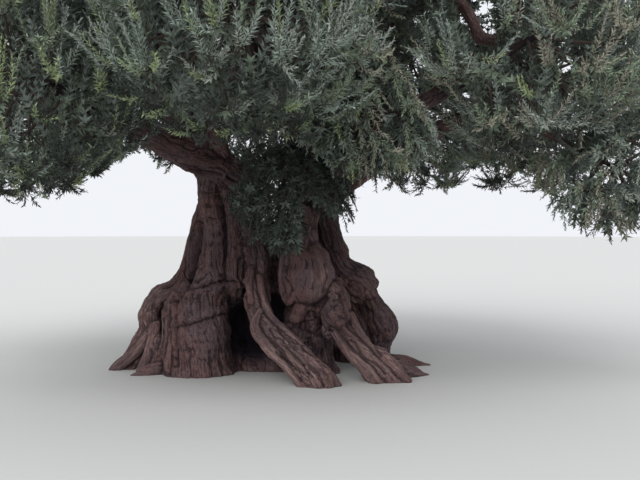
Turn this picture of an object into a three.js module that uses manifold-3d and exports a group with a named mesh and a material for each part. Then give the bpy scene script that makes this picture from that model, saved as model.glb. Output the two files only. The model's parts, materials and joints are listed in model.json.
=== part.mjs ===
// A very old olive tree: a split, ribbed trunk on spreading legs, a dozen and a half boughs,
// and a low, wide crown of grey-green foliage that hangs down round the trunk.
// Millimetres, +Z up. The origin is on the flat cut at ground level, under the heart of the trunk.
// +X is to the right and -Y is the side from which the two hollows of the trunk are seen.
import * as THREE from "three";
import { mergeVertices } from "three/addons/utils/BufferGeometryUtils.js";
import Module from "manifold-3d";

const wasm = await Module();
wasm.setup();

// Driving dimensions of the joints between the pieces
const CLEARANCE = 0.4;
const SUNK = 45;
const BELOW_GROUND = 90;

// Driving dimensions of the limbs
const RIB_SIDES = 10;
const RIB_STEP = 340;
const BOUGH_SIDES = 8;
const BOUGH_STEP = 520;
const FLUTE_DEPTH = 0.07;
const FLUTES = 3;
const FLUTE_TWIST = 2.2;

// Driving dimensions of the foliage. A leaf here stands for a spray of real leaves.
const SPACE_HEIGHT_SHARE = 0.85;
const CORE_SHARE = 0.52;
const CORE_ROUGHNESS = 0.34;
const TWIG_REACH = 0.68;
const TWIGS = 6;
const LEAVES_ON_TWIG = 3;
const LEAF_LENGTH_SHARE = 0.56;
const LEAF_WIDTH_SHARE = 0.34;
const LEAF_THICKNESS_SHARE = 0.06;
const LEAF_SUNK = 5;
const TWIG_RADIUS = 30;
const NEIGHBOUR_GAP = 12;
const LIMB_GAP = 25;
const UPWARD_LEAN = 0.45;
const GOLDEN_ANGLE = Math.PI * (3 - Math.sqrt(5));

// Colours, as the bark and the leaves look in dull daylight
const BARK = new THREE.MeshStandardMaterial({ color: 0x5d4a47, roughness: 0.95, metalness: 0 });
const LIMB_BARK = new THREE.MeshStandardMaterial({ color: 0x4d3f3a, roughness: 0.95, metalness: 0 });
const FOLIAGE = new THREE.MeshStandardMaterial({ color: 0x4c5a45, roughness: 0.7, metalness: 0 });

// The ribs of the trunk, each from its foot to its head through the places where it swells or
// bends. A station is [x, y, z, radius].
const ribs = {
  column: {
    foot: [-765, -300, 0, 400],
    belly: [-785, -300, 340, 372],
    hip: [-775, -300, 690, 345],
    shoulder: [-715, -300, 900, 272],
    waist: [-655, -300, 1020, 205],
    neck: [-612, -300, 1380, 158],
    head: [-630, -290, 2130, 150],
  },
  second_rib: {
    heel: [-380, -150, 820, 110],
    foot: [-365, -400, 960, 112],
    side: [-350, -405, 1300, 112],
    neck: [-352, -400, 1700, 118],
    head: [-420, -440, 2150, 150],
  },
  centre_leg: {
    foot: [540, -1110, 10, 165],
    heel: [330, -985, 236, 152],
    shin: [150, -850, 391, 142],
    knee: [-11, -720, 530, 125],
    calf: [-69, -620, 656, 108],
    thigh: [-111, -550, 807, 118],
    hip: [-134, -470, 960, 132],
    side: [-134, -440, 1173, 128],
    neck: [-200, -400, 1600, 140],
    crook: [-300, -420, 2040, 182],
    head: [-470, -540, 2210, 176],
  },
  left_heel: {
    foot: [-1130, -300, 0, 165],
    side: [-1085, -330, 380, 112],
    head: [-1040, -320, 760, 95],
  },
  left_leg: {
    foot: [-1662, -20, 0, 110],
    toe: [-1461, 0, 226, 128],
    ankle: [-1349, 0, 427, 135],
    knee: [-1327, 0, 650, 140],
    elbow: [-1235, 0, 795, 125],
    shoulder: [-1070, 0, 895, 98],
    side: [-955, -10, 1075, 88],
    rise: [-880, -30, 1321, 80],
    neck: [-800, -70, 1600, 78],
    head: [-680, -160, 1900, 75],
  },
  burl: {
    base: [395, -420, 790, 150],
    belly: [405, -455, 905, 252],
    crown: [420, -450, 1040, 286],
    shoulder: [405, -430, 1200, 246],
    stem: [372, -405, 1400, 185],
    neck: [372, -385, 1600, 155],
    head: [450, -330, 2020, 180],
  },
  right_leg: {
    foot: [1290, -815, 0, 200],
    shin: [1060, -770, 236, 158],
    calf: [925, -730, 376, 155],
    knee: [805, -690, 507, 155],
    knot: [727, -640, 665, 150],
    thigh: [745, -570, 830, 118],
    head: [590, -400, 960, 110],
  },
  back_lobe: {
    foot: [1130, 120, 0, 160],
    ankle: [1235, 100, 260, 135],
    calf: [1250, 80, 420, 170],
    knee: [1200, 65, 590, 165],
    waist: [1130, 50, 740, 118],
    bulge: [965, 30, 950, 232],
    shoulder: [775, 15, 1175, 122],
    neck: [655, 0, 1430, 124],
    head: [600, -90, 2000, 160],
  },
  inner_knot: {
    foot: [500, -330, 0, 270],
    belly: [430, -320, 420, 235],
    shoulder: [410, -310, 680, 225],
    head: [360, -290, 930, 160],
  },
  core: {
    foot: [-30, 260, 0, 560],
    belly: [-50, 300, 300, 430],
    waist: [-70, 280, 700, 370],
    head: [-40, 180, 1620, 190],
  },
  left_core: {
    foot: [-560, 200, 0, 480],
    belly: [-580, 120, 500, 370],
    waist: [-680, -20, 1000, 280],
    head: [-620, -130, 1900, 150],
  },
  back_left_leg: {
    foot: [-1000, 620, 0, 280],
    calf: [-860, 480, 500, 260],
    thigh: [-700, 250, 1100, 210],
    head: [-600, -60, 1900, 150],
  },
  back_leg: {
    foot: [120, 780, 0, 320],
    calf: [60, 620, 600, 300],
    thigh: [180, 330, 1150, 230],
    head: [450, -60, 1800, 140],
  },
  back_right_leg: {
    foot: [980, 640, 0, 270],
    calf: [890, 520, 560, 245],
    thigh: [690, 250, 1200, 195],
    head: [560, -60, 1850, 140],
  },
};

// Surface roots that run out from the feet of the ribs: start, bearing in degrees, length, radius
const surfaceRoots = [
  { start: [1200, 120, 60], bearing: 8, length: 620, radius: 105 },
  { start: [1290, -720, 70], bearing: 33, length: 500, radius: 110 },
  { start: [-1150, -420, 50], bearing: 200, length: 330, radius: 80 },
  { start: [-1020, 680, 60], bearing: 130, length: 480, radius: 110 },
  { start: [130, 850, 70], bearing: 82, length: 470, radius: 120 },
  { start: [900, 680, 60], bearing: 38, length: 450, radius: 100 },
];

// The ribs that make the heart of the trunk, behind the ribs that show at the front
const heartRibs = ["core", "left_core", "back_left_leg", "back_leg", "back_right_leg"];

// Hollows that open between the ribs at the front and run into the heart of the trunk
const hollows = {
  left: {
    mouth: [-330, -1100, 100, 240],
    throat: [-240, -560, 400, 350],
    end: [-170, 170, 480, 250],
  },
  right: {
    mouth: [60, -1150, 800, 130],
    throat: [80, -480, 740, 180],
    end: [20, 60, 640, 160],
  },
};

// Round burls that stand out of the ribs: centre and radius
const burls = [
  { centre: [735, -730, 665], radius: 155 },
  { centre: [1040, 20, 930], radius: 170 },
  { centre: [-1345, -50, 580], radius: 145 },
  { centre: [70, 560, 720], radius: 230 },
];

// The masses of foliage: bearing in degrees round the trunk, distance out, height and radius
const masses = {
  front: { bearing: -92, out: 3050, height: 3280, radius: 1350 },
  right_front: { bearing: -39, out: 3200, height: 3300, radius: 1350 },
  right: { bearing: 2, out: 2950, height: 3260, radius: 1600 },
  right_back: { bearing: 46, out: 2850, height: 3300, radius: 1600 },
  back: { bearing: 92, out: 2800, height: 3350, radius: 1600 },
  left_back: { bearing: 137, out: 2850, height: 3480, radius: 1550 },
  left: { bearing: 182, out: 2950, height: 3150, radius: 1580 },
  left_front: { bearing: -129, out: 3100, height: 2880, radius: 1350 },
  right_low: { bearing: -27, out: 3700, height: 2130, radius: 850 },
  back_low: { bearing: 84, out: 3500, height: 2250, radius: 850 },
  front_low: { bearing: -62, out: 2100, height: 2600, radius: 850 },
  middle: { bearing: -76, out: 1120, height: 1860, radius: 700 },
  upper_left_front: { bearing: -125, out: 1850, height: 4250, radius: 1500 },
  upper_right_front: { bearing: -60, out: 1850, height: 4450, radius: 1550 },
  upper_right: { bearing: 12, out: 1800, height: 4550, radius: 1600 },
  upper_back: { bearing: 86, out: 1750, height: 4500, radius: 1600 },
  upper_left: { bearing: 158, out: 1800, height: 4550, radius: 1600 },
  top: { bearing: 0, out: 60, height: 5300, radius: 1500 },
};

// The boughs. Each starts in the trunk or in an earlier bough, passes its elbow and runs straight
// at its mass of foliage, where it ends on the edge of that mass's space.
const boughs = {
  left_front: { start: [-400, -500, 2170], elbow: [-680, -690, 2255], radius: 168 },
  left: { start: [-620, -250, 2080], elbow: [-1000, -150, 2560], radius: 130 },
  left_back: { start: [-600, -110, 1980], elbow: [-850, 400, 2600], radius: 120 },
  upper_left: { start: [-600, -230, 2080], elbow: [-760, 60, 2750], radius: 130 },
  upper_left_front: { start: [-440, -560, 2240], elbow: [-640, -800, 2750], radius: 105 },
  right_front: { start: [500, -340, 1880], elbow: [860, -720, 2400], radius: 130 },
  right: { start: [560, -180, 1860], elbow: [1150, -100, 2300], radius: 140 },
  right_low: { start: [1600, -80, 2470], elbow: [2300, -750, 2850], radius: 70 },
  front_low: { start: [600, -450, 1980], elbow: [760, -1000, 2330], radius: 75 },
  right_back: { start: [570, -60, 1780], elbow: [1000, 500, 2250], radius: 130 },
  back: { start: [480, -30, 1760], elbow: [330, 800, 2300], radius: 130 },
  back_low: { start: [340, 740, 2240], elbow: [480, 1700, 2400], radius: 75 },
  front: { start: [420, -380, 1860], elbow: [240, -1000, 2650], radius: 105 },
  middle: { start: [430, -420, 1600], elbow: [400, -640, 1760], radius: 66 },
  top: { start: [500, -200, 1900], elbow: [250, 30, 3000], radius: 165 },
  upper_right: { start: [300, -10, 2800], elbow: [800, 120, 3500], radius: 100 },
  upper_right_front: { start: [340, -50, 2650], elbow: [620, -600, 3300], radius: 100 },
  upper_back: { start: [240, 35, 3050], elbow: [180, 550, 3600], radius: 100 },
};
const BOUGH_TIP_SHARE = 0.62;

// A dead limb that reaches out to the right and hangs down to a broken, swollen end
const stub = {
  root: [630, -610, 3290, 88],
  rise: [1240, -800, 3690, 74],
  turn: [1900, -980, 3860, 62],
  drop: [2060, -1000, 3680, 58],
  bend: [2165, -1000, 3470, 68],
  end: [2310, -1000, 3450, 50],
};

// Seeded numbers between 0 and 1, the same on every run
function seeded(seed) {
  let state = seed >>> 0;
  return () => {
    state = (Math.imul(state, 1664525) + 1013904223) >>> 0;
    return state / 4294967296;
  };
}

const vector = (values) => new THREE.Vector3(values[0], values[1], values[2]);

// A closed solid from a geometry, with its shared corners merged
function solidOf(geometry) {
  const bare = geometry.index ? geometry.toNonIndexed() : geometry.clone();
  bare.deleteAttribute("normal");
  bare.deleteAttribute("uv");
  const merged = mergeVertices(bare, 1e-3);
  return new wasm.Manifold(
    new wasm.Mesh({
      numProp: 3,
      vertProperties: new Float32Array(merged.attributes.position.array),
      triVerts: new Uint32Array(merged.index.array),
    }),
  );
}

// The largest piece of a solid: loose scraps and sealed hollows are dropped
function largestPiece(solid) {
  const pieces = solid.decompose();
  return pieces.reduce((best, piece) => (piece.volume() > best.volume() ? piece : best));
}

// A tapering limb: a cylinder whose rings are laid along a curve through the stations, with
// shallow flutes that wind up it. grow widens it, for cutting a neighbour clear.
function limb(stations, sides, step, grow = 0, fluteDepth = FLUTE_DEPTH) {
  const points = stations.map(vector);
  const radii = stations.map((station) => station[3]);
  const curve = new THREE.CatmullRomCurve3(points, false, "centripetal");
  const length = curve.getLength();
  const rings = Math.max(stations.length - 1, Math.round(length / step));
  const frames = curve.computeFrenetFrames(rings, false);
  const geometry = new THREE.CylinderGeometry(1, 1, 1, sides, rings, false);
  const position = geometry.attributes.position;
  const at = new THREE.Vector3();
  for (let i = 0; i < position.count; i++) {
    const along = position.getY(i) + 0.5;
    const ring = Math.round(along * rings);
    const share = ring / rings;
    const across = position.getX(i);
    const up = position.getZ(i);
    const angle = Math.atan2(up, across);
    const flute = 1 + fluteDepth * Math.sin(FLUTES * angle + FLUTE_TWIST * share * Math.PI);
    const radius = radiusAt(curve, radii, share) * flute + grow;
    curve.getPointAt(share, at);
    at.addScaledVector(frames.normals[ring], across * radius);
    at.addScaledVector(frames.binormals[ring], -up * radius);
    if (ring === 0) at.addScaledVector(frames.tangents[0], -grow);
    if (ring === rings) at.addScaledVector(frames.tangents[rings], grow);
    position.setXYZ(i, at.x, at.y, at.z);
  }
  return solidOf(geometry);
}

// The radius at a share of the curve's length, eased between the stations on either side
function radiusAt(curve, radii, share) {
  const place = curve.getUtoTmapping(share) * (radii.length - 1);
  const before = Math.min(Math.floor(place), radii.length - 2);
  const between = place - before;
  const eased = between * between * (3 - 2 * between);
  return radii[before] + (radii[before + 1] - radii[before]) * eased;
}

// One rib, run on below the ground so that the flat cut trims it
function rib(stations, grow) {
  const [foot] = stations;
  const buried = [foot[0], foot[1], foot[2] - BELOW_GROUND, foot[3] * 1.05];
  return limb([buried, ...stations.slice(foot[2] > 0 ? 0 : 1)], RIB_SIDES, RIB_STEP, grow);
}

function surfaceRoot({ start, bearing, length, radius }, grow) {
  const turn = THREE.MathUtils.degToRad(bearing);
  const reach = (share, height) => [
    start[0] + Math.cos(turn) * length * share,
    start[1] + Math.sin(turn) * length * share,
    height,
  ];
  const stations = [
    [...reach(-0.4, start[2] + radius * 0.6), radius],
    [...reach(0.3, start[2]), radius * 0.85],
    [...reach(1, -radius * 0.35), radius * 0.45],
  ];
  return limb(stations, RIB_SIDES - 2, RIB_STEP, grow);
}

// One hollow, as the solid that is cut away
function hollow(stations) {
  return limb(Object.values(stations), RIB_SIDES - 2, RIB_STEP, 0, 0);
}

function burl({ centre, radius }, grow) {
  const geometry = new THREE.IcosahedronGeometry(radius + grow, 1);
  geometry.translate(...centre);
  return solidOf(geometry);
}

// The trunk: the hollowed heart, the ribs before it, roots and burls joined, and cut flat at
// ground level
function trunkSolid(grow) {
  const ribNamed = (name) => rib(Object.values(ribs[name]), grow);
  const heart = wasm.Manifold.union(heartRibs.map(ribNamed));
  const hollowed = heart.subtract(wasm.Manifold.union(Object.values(hollows).map(hollow)));
  const outerRibs = Object.keys(ribs).filter((name) => !heartRibs.includes(name));
  const pieces = [
    hollowed,
    ...outerRibs.map(ribNamed),
    ...surfaceRoots.map((root) => surfaceRoot(root, grow)),
    ...burls.map((knob) => burl(knob, grow)),
  ];
  const ground = new THREE.BoxGeometry(8000, 8000, 2000).translate(0, 0, -1000);
  return largestPiece(wasm.Manifold.union(pieces).subtract(solidOf(ground)));
}

// The centre of a mass's space
function centreOf({ bearing, out, height }) {
  const turn = THREE.MathUtils.degToRad(bearing);
  return new THREE.Vector3(Math.cos(turn) * out, Math.sin(turn) * out, height);
}

// A point from a space's centre, in a frame where the flattened spaces are round
function squared(point, mass) {
  const offset = point.clone().sub(centreOf(mass));
  offset.z /= SPACE_HEIGHT_SHARE;
  return offset.lengthSq() - mass.radius ** 2;
}

// Where a ray from inside a mass's space leaves it: the space is the mass's own flattened ball,
// cut by the flat borders that it shares with its neighbours
function reachOf(mass, from, direction) {
  let reach = ballReach(mass, from, direction);
  for (const other of Object.values(masses)) {
    if (other === mass) continue;
    const here = squared(from, other) - squared(from, mass);
    const step = from.clone().add(direction);
    const slope = squared(step, other) - squared(step, mass) - here;
    const border = 2 * NEIGHBOUR_GAP * centreOf(other).distanceTo(centreOf(mass));
    if (slope < 0) reach = Math.min(reach, (here - border) / -slope);
  }
  return reach;
}

function ballReach(mass, from, direction) {
  const flat = (v) => new THREE.Vector3(v.x, v.y, v.z / SPACE_HEIGHT_SHARE);
  const offset = flat(from.clone().sub(centreOf(mass)));
  const heading = flat(direction);
  const a = heading.lengthSq();
  const b = offset.dot(heading);
  const c = offset.lengthSq() - mass.radius ** 2;
  return (-b + Math.sqrt(Math.max(0, b * b - a * c))) / a;
}

function isInside(mass, point) {
  const own = squared(point, mass);
  if (own > 0) return false;
  return Object.values(masses).every((other) => {
    const border = 2 * NEIGHBOUR_GAP * centreOf(other).distanceTo(centreOf(mass));
    return other === mass || squared(point, other) - own > border;
  });
}

// A bough's stations: start, elbow and tip, with the tip on the edge of its mass's space
function boughStations(name) {
  const { start, elbow, radius } = boughs[name];
  const mass = masses[name];
  const bend = vector(elbow);
  const heading = centreOf(mass).sub(bend);
  const distance = heading.length();
  heading.normalize();
  const back = heading.clone().negate();
  const tip = centreOf(mass).addScaledVector(back, Math.min(distance * 0.8, ballReach(mass, centreOf(mass), back)));
  const tipRadius = radius * BOUGH_TIP_SHARE;
  return [
    [...start, radius],
    [...elbow, radius * 0.88],
    [...bend.clone().lerp(tip, 0.55).toArray(), (radius * 0.88 + tipRadius) / 2],
    [...tip.toArray(), tipRadius],
  ];
}

// Every limb as points with radii, to keep twigs and leaves off it
const limbPoints = [];
function noteLimb(stations) {
  const curve = new THREE.CatmullRomCurve3(stations.map(vector), false, "centripetal");
  const radii = stations.map((station) => station[3]);
  const count = Math.ceil(curve.getLength() / 60);
  for (let i = 0; i <= count; i++) {
    const share = i / count;
    limbPoints.push({ at: curve.getPointAt(share), radius: radiusAt(curve, radii, share) * (1 + FLUTE_DEPTH) });
  }
}
Object.values(ribs).forEach((stations) => noteLimb(Object.values(stations)));
Object.keys(boughs).forEach((name) => noteLimb(boughStations(name)));
noteLimb(Object.values(stub));

function isClearOfLimbs(from, to, halfWidth) {
  const at = new THREE.Vector3();
  return [0, 0.2, 0.4, 0.6, 0.8, 1].every((share) => {
    at.lerpVectors(from, to, share);
    return limbPoints.every((point) => at.distanceTo(point.at) > point.radius + halfWidth + LIMB_GAP);
  });
}

// A three-sided twig between two points
function twig(from, to, radius) {
  const middle = from.clone().lerp(to, 0.5);
  middle.z += from.distanceTo(to) * 0.04;
  const stations = [
    [...from.toArray(), radius],
    [...middle.toArray(), radius * 0.8],
    [...to.toArray(), radius * 0.5],
  ];
  return limb(stations, 3, Infinity, 0, 0);
}

// A leaf of six faces, flat below and ridged above, with its root at one point and its tip at
// another. The section across its middle is a flat triangle.
function leaf(root, tip, roll) {
  const length = root.distanceTo(tip);
  const blade = new THREE.SphereGeometry(1, 3, 2);
  blade.rotateZ(Math.PI / 2);
  blade.scale(length / 2, (length * LEAF_THICKNESS_SHARE) / 1.5, (length * LEAF_WIDTH_SHARE) / Math.sqrt(3));
  const along = tip.clone().sub(root).normalize();
  const turn = new THREE.Quaternion().setFromUnitVectors(new THREE.Vector3(1, 0, 0), along);
  blade.rotateX(roll);
  blade.applyQuaternion(turn);
  blade.translate(...root.clone().lerp(tip, 0.5).toArray());
  return blade;
}

function cornersAreInside(mass, geometry) {
  const position = geometry.attributes.position;
  const corner = new THREE.Vector3();
  for (let i = 0; i < position.count; i++) {
    if (!isInside(mass, corner.fromBufferAttribute(position, i))) return false;
  }
  return true;
}

// The lumpy core of a dense mass
function core(mass, random) {
  const geometry = new THREE.IcosahedronGeometry(1, 1);
  const merged = mergeVertices(geometry.deleteAttribute("normal").deleteAttribute("uv"), 1e-4);
  const position = merged.attributes.position;
  const centre = centreOf(mass);
  const direction = new THREE.Vector3();
  for (let i = 0; i < position.count; i++) {
    direction.fromBufferAttribute(position, i).normalize();
    const share = CORE_SHARE * (1 + CORE_ROUGHNESS * (random() - 0.5));
    const reach = reachOf(mass, centre, direction) * share;
    position.setXYZ(i, ...centre.clone().addScaledVector(direction, reach).toArray());
  }
  return solidOf(merged);
}

// The directions of a mass's twigs, spread evenly by the golden angle
function twigDirection(index, count, phase) {
  const height = 1 - (2 * (index + 0.5)) / count;
  const level = Math.sqrt(1 - height * height);
  const turn = index * GOLDEN_ANGLE + phase;
  return new THREE.Vector3(level * Math.cos(turn), level * Math.sin(turn), height);
}

// One mass of foliage: a stem that goes on from its bough's tip, twigs that branch from the
// stem's end in all directions, and leaves along each twig, larger towards the outside
function massSolid(name, seed) {
  const mass = masses[name];
  const random = seeded(seed);
  const centre = centreOf(mass);
  const stations = boughStations(name);
  const [tipX, tipY, tipZ, tipRadius] = stations.at(-1);
  const tip = new THREE.Vector3(tipX, tipY, tipZ);
  const inward = centre.clone().sub(tip).normalize();
  const rootOfStem = tip.clone().addScaledVector(inward, -SUNK);
  const stem = [
    [...rootOfStem.toArray(), tipRadius * 0.85],
    [...tip.clone().lerp(centre, 0.5).toArray(), tipRadius * 0.7],
    [...centre.toArray(), tipRadius * 0.5],
  ];
  const pieces = [limb(stem, BOUGH_SIDES - 2, Infinity, 0, 0), core(mass, random)];
  const count = Math.max(4, Math.round((TWIGS * mass.radius) / 1350));
  const phase = random() * Math.PI * 2;
  for (let i = 0; i < count; i++) {
    const direction = twigDirection(i, count, phase);
    const reach = reachOf(mass, centre, direction);
    if (reach < mass.radius * 0.45) continue;
    const end = centre.clone().addScaledVector(direction, reach * TWIG_REACH);
    const start = centre.clone().addScaledVector(direction, reach * CORE_SHARE);
    if (!isClearOfLimbs(start, end, TWIG_RADIUS)) continue;
    pieces.push(twig(centre, end, TWIG_RADIUS));
    pieces.push(...twigLeaves(mass, start, end, direction, reach, random));
  }
  return pieces;
}

// The leaves of one twig: one at its tip and the others round its outer half
function twigLeaves(mass, start, end, direction, reach, random) {
  const leaves = [];
  const side = new THREE.Vector3(direction.y, -direction.x, 0.2).normalize();
  for (let j = 0; j < LEAVES_ON_TWIG; j++) {
    const isTip = j === 0;
    const root = start.clone().lerp(end, isTip ? 0.97 : 0.28 + 0.24 * j);
    const turn = j * GOLDEN_ANGLE + random() * 2;
    const aside = side.clone().applyAxisAngle(direction, turn);
    const heading = direction.clone().multiplyScalar(isTip ? 1 : 0.55);
    heading.addScaledVector(aside, isTip ? 0.15 : 0.8);
    heading.z += UPWARD_LEAN * random();
    heading.normalize();
    const room = reachOf(mass, root, heading);
    const length = Math.min(room * 0.97, mass.radius * LEAF_LENGTH_SHARE * (0.85 + 0.3 * random()));
    if (length < mass.radius * 0.14) continue;
    const tip = root.clone().addScaledVector(heading, length);
    const sunkRoot = root.clone().addScaledVector(heading, -LEAF_SUNK);
    const blade = leaf(sunkRoot, tip, random() * Math.PI);
    const halfWidth = (length * LEAF_WIDTH_SHARE) / 2;
    if (cornersAreInside(mass, blade) && isClearOfLimbs(root, tip, halfWidth)) leaves.push(solidOf(blade));
  }
  return leaves;
}

// Puts a solid into the tree as a named mesh
const tree = new THREE.Group();
function addPiece(name, solid, material) {
  const mesh = solid.getMesh();
  const count = mesh.numVert;
  const corners = new Float32Array(count * 3);
  for (let i = 0; i < count; i++) {
    corners.set(mesh.vertProperties.subarray(i * mesh.numProp, i * mesh.numProp + 3), i * 3);
  }
  const geometry = new THREE.BufferGeometry();
  geometry.setAttribute("position", new THREE.BufferAttribute(corners, 3));
  geometry.setIndex(new THREE.BufferAttribute(new Uint32Array(mesh.triVerts), 1));
  geometry.computeVertexNormals();
  const piece = new THREE.Mesh(geometry, material);
  piece.name = name;
  tree.add(piece);
}

// The trunk first, then each bough cut clear of what stands before it, then the foliage
addPiece("trunk", trunkSolid(0), BARK);
const standing = [trunkSolid(CLEARANCE)];
const limbs = Object.fromEntries(Object.keys(boughs).map((name) => [name, boughStations(name)]));
limbs.stub = Object.values(stub);
for (const [name, stations] of Object.entries(limbs)) {
  const tube = limb(stations, BOUGH_SIDES, BOUGH_STEP);
  addPiece(`bough_${name}`, largestPiece(tube.subtract(wasm.Manifold.union(standing))), LIMB_BARK);
  standing.push(limb(stations, BOUGH_SIDES, BOUGH_STEP, CLEARANCE));
}
const allLimbs = wasm.Manifold.union(standing);
Object.keys(masses).forEach((name, index) => {
  const joined = wasm.Manifold.union(massSolid(name, 101 + 37 * index));
  addPiece(`foliage_${name}`, largestPiece(joined.subtract(allLimbs)), FOLIAGE);
});

export default tree;
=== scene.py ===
"""A very old olive tree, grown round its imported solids: one fused body of wood with the bark's
relief, branches and twigs by the rule of the solids' masses, and leaves in sprays.
Everything is in metres, in the frame of the solids, with -Y towards the viewer."""
import itertools
import json
import math

import bmesh
import bpy
import numpy as np
from bpy.props import FloatProperty, FloatVectorProperty, IntProperty, PointerProperty
from bpy.types import Operator, Panel, PropertyGroup
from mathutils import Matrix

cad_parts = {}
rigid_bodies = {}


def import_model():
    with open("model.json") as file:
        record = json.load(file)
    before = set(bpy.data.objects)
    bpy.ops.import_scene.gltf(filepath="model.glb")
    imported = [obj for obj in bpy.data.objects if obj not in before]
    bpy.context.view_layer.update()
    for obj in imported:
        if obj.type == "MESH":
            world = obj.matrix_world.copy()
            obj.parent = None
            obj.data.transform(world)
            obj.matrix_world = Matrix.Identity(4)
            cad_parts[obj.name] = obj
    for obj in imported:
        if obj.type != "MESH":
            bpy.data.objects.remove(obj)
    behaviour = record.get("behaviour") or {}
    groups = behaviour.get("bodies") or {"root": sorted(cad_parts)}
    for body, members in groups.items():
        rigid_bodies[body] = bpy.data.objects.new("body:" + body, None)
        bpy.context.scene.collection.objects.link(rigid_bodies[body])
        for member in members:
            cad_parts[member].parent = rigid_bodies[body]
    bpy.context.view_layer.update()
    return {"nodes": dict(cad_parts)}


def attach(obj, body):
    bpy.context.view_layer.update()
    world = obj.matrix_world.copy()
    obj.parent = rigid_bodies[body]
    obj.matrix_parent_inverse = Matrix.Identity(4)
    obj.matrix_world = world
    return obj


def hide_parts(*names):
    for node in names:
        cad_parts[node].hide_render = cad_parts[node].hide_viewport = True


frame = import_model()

bl_info = {
    "name": "Old olive tree",
    "version": (1, 0, 0),
    "blender": (4, 5, 0),
    "location": "View3D > Sidebar > Olive",
    "description": "Grows the bark, twigs and leaves of an old olive tree round its solids",
    "category": "Object",
}

# The ribs of the trunk, foot first, as in the solids. A station is x, y, z and radius.
RIBS = {
    "column": [
        (-0.765, -0.3, 0.0, 0.4), (-0.785, -0.3, 0.34, 0.372), (-0.775, -0.3, 0.69, 0.345),
        (-0.715, -0.3, 0.9, 0.272), (-0.655, -0.3, 1.02, 0.205), (-0.612, -0.3, 1.38, 0.158),
        (-0.63, -0.29, 2.13, 0.15),
    ],
    "second_rib": [
        (-0.38, -0.15, 0.82, 0.11), (-0.365, -0.4, 0.96, 0.112), (-0.35, -0.405, 1.3, 0.112),
        (-0.352, -0.4, 1.7, 0.118), (-0.42, -0.44, 2.15, 0.15),
    ],
    "centre_leg": [
        (0.54, -1.11, 0.01, 0.165), (0.33, -0.985, 0.236, 0.152), (0.15, -0.85, 0.391, 0.142),
        (-0.011, -0.72, 0.53, 0.125), (-0.069, -0.62, 0.656, 0.108), (-0.111, -0.55, 0.807, 0.118),
        (-0.134, -0.47, 0.96, 0.132), (-0.134, -0.44, 1.173, 0.128), (-0.2, -0.4, 1.6, 0.14),
        (-0.3, -0.42, 2.04, 0.182), (-0.47, -0.54, 2.21, 0.176),
    ],
    "left_heel": [
        (-1.13, -0.3, 0.0, 0.165), (-1.085, -0.33, 0.38, 0.112), (-1.04, -0.32, 0.76, 0.095),
    ],
    "left_leg": [
        (-1.662, -0.02, 0.0, 0.11), (-1.461, 0.0, 0.226, 0.128), (-1.349, 0.0, 0.427, 0.135),
        (-1.327, 0.0, 0.65, 0.14), (-1.235, 0.0, 0.795, 0.125), (-1.07, 0.0, 0.895, 0.098),
        (-0.955, -0.01, 1.075, 0.088), (-0.88, -0.03, 1.321, 0.08), (-0.8, -0.07, 1.6, 0.078),
        (-0.68, -0.16, 1.9, 0.075),
    ],
    "burl": [
        (0.395, -0.42, 0.79, 0.15), (0.405, -0.455, 0.905, 0.252), (0.42, -0.45, 1.04, 0.286),
        (0.405, -0.43, 1.2, 0.246), (0.372, -0.405, 1.4, 0.185), (0.372, -0.385, 1.6, 0.155),
        (0.45, -0.33, 2.02, 0.18),
    ],
    "right_leg": [
        (1.29, -0.815, 0.0, 0.2), (1.06, -0.77, 0.236, 0.158), (0.925, -0.73, 0.376, 0.155),
        (0.805, -0.69, 0.507, 0.155), (0.727, -0.64, 0.665, 0.15), (0.745, -0.57, 0.83, 0.118),
        (0.59, -0.4, 0.96, 0.11),
    ],
    "back_lobe": [
        (1.13, 0.12, 0.0, 0.16), (1.235, 0.1, 0.26, 0.135), (1.25, 0.08, 0.42, 0.17),
        (1.2, 0.065, 0.59, 0.165), (1.13, 0.05, 0.74, 0.118), (0.965, 0.03, 0.95, 0.232),
        (0.775, 0.015, 1.175, 0.122), (0.655, 0.0, 1.43, 0.124), (0.6, -0.09, 2.0, 0.16),
    ],
    "inner_knot": [
        (0.5, -0.33, 0.0, 0.27), (0.43, -0.32, 0.42, 0.235), (0.41, -0.31, 0.68, 0.225),
        (0.36, -0.29, 0.93, 0.16),
    ],
    "core": [
        (-0.03, 0.26, 0.0, 0.56), (-0.05, 0.3, 0.3, 0.43), (-0.07, 0.28, 0.7, 0.37),
        (-0.04, 0.18, 1.62, 0.19),
    ],
    "left_core": [
        (-0.56, 0.2, 0.0, 0.48), (-0.58, 0.12, 0.5, 0.37), (-0.68, -0.02, 1.0, 0.28),
        (-0.62, -0.13, 1.9, 0.15),
    ],
    "back_left_leg": [
        (-1.0, 0.62, 0.0, 0.28), (-0.86, 0.48, 0.5, 0.26), (-0.7, 0.25, 1.1, 0.21),
        (-0.6, -0.06, 1.9, 0.15),
    ],
    "back_leg": [
        (0.12, 0.78, 0.0, 0.32), (0.06, 0.62, 0.6, 0.3), (0.18, 0.33, 1.15, 0.23),
        (0.45, -0.06, 1.8, 0.14),
    ],
    "back_right_leg": [
        (0.98, 0.64, 0.0, 0.27), (0.89, 0.52, 0.56, 0.245), (0.69, 0.25, 1.2, 0.195),
        (0.56, -0.06, 1.85, 0.14),
    ],
}
# The ribs at the trunk's heart, which the hollows are cut into
HEART_RIBS = ("core", "left_core", "back_left_leg", "back_leg", "back_right_leg")
# How far a rib runs on under the ground, and how much thicker it gets there
BELOW_GROUND = 0.09
BURIED_GIRTH = 1.05
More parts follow.
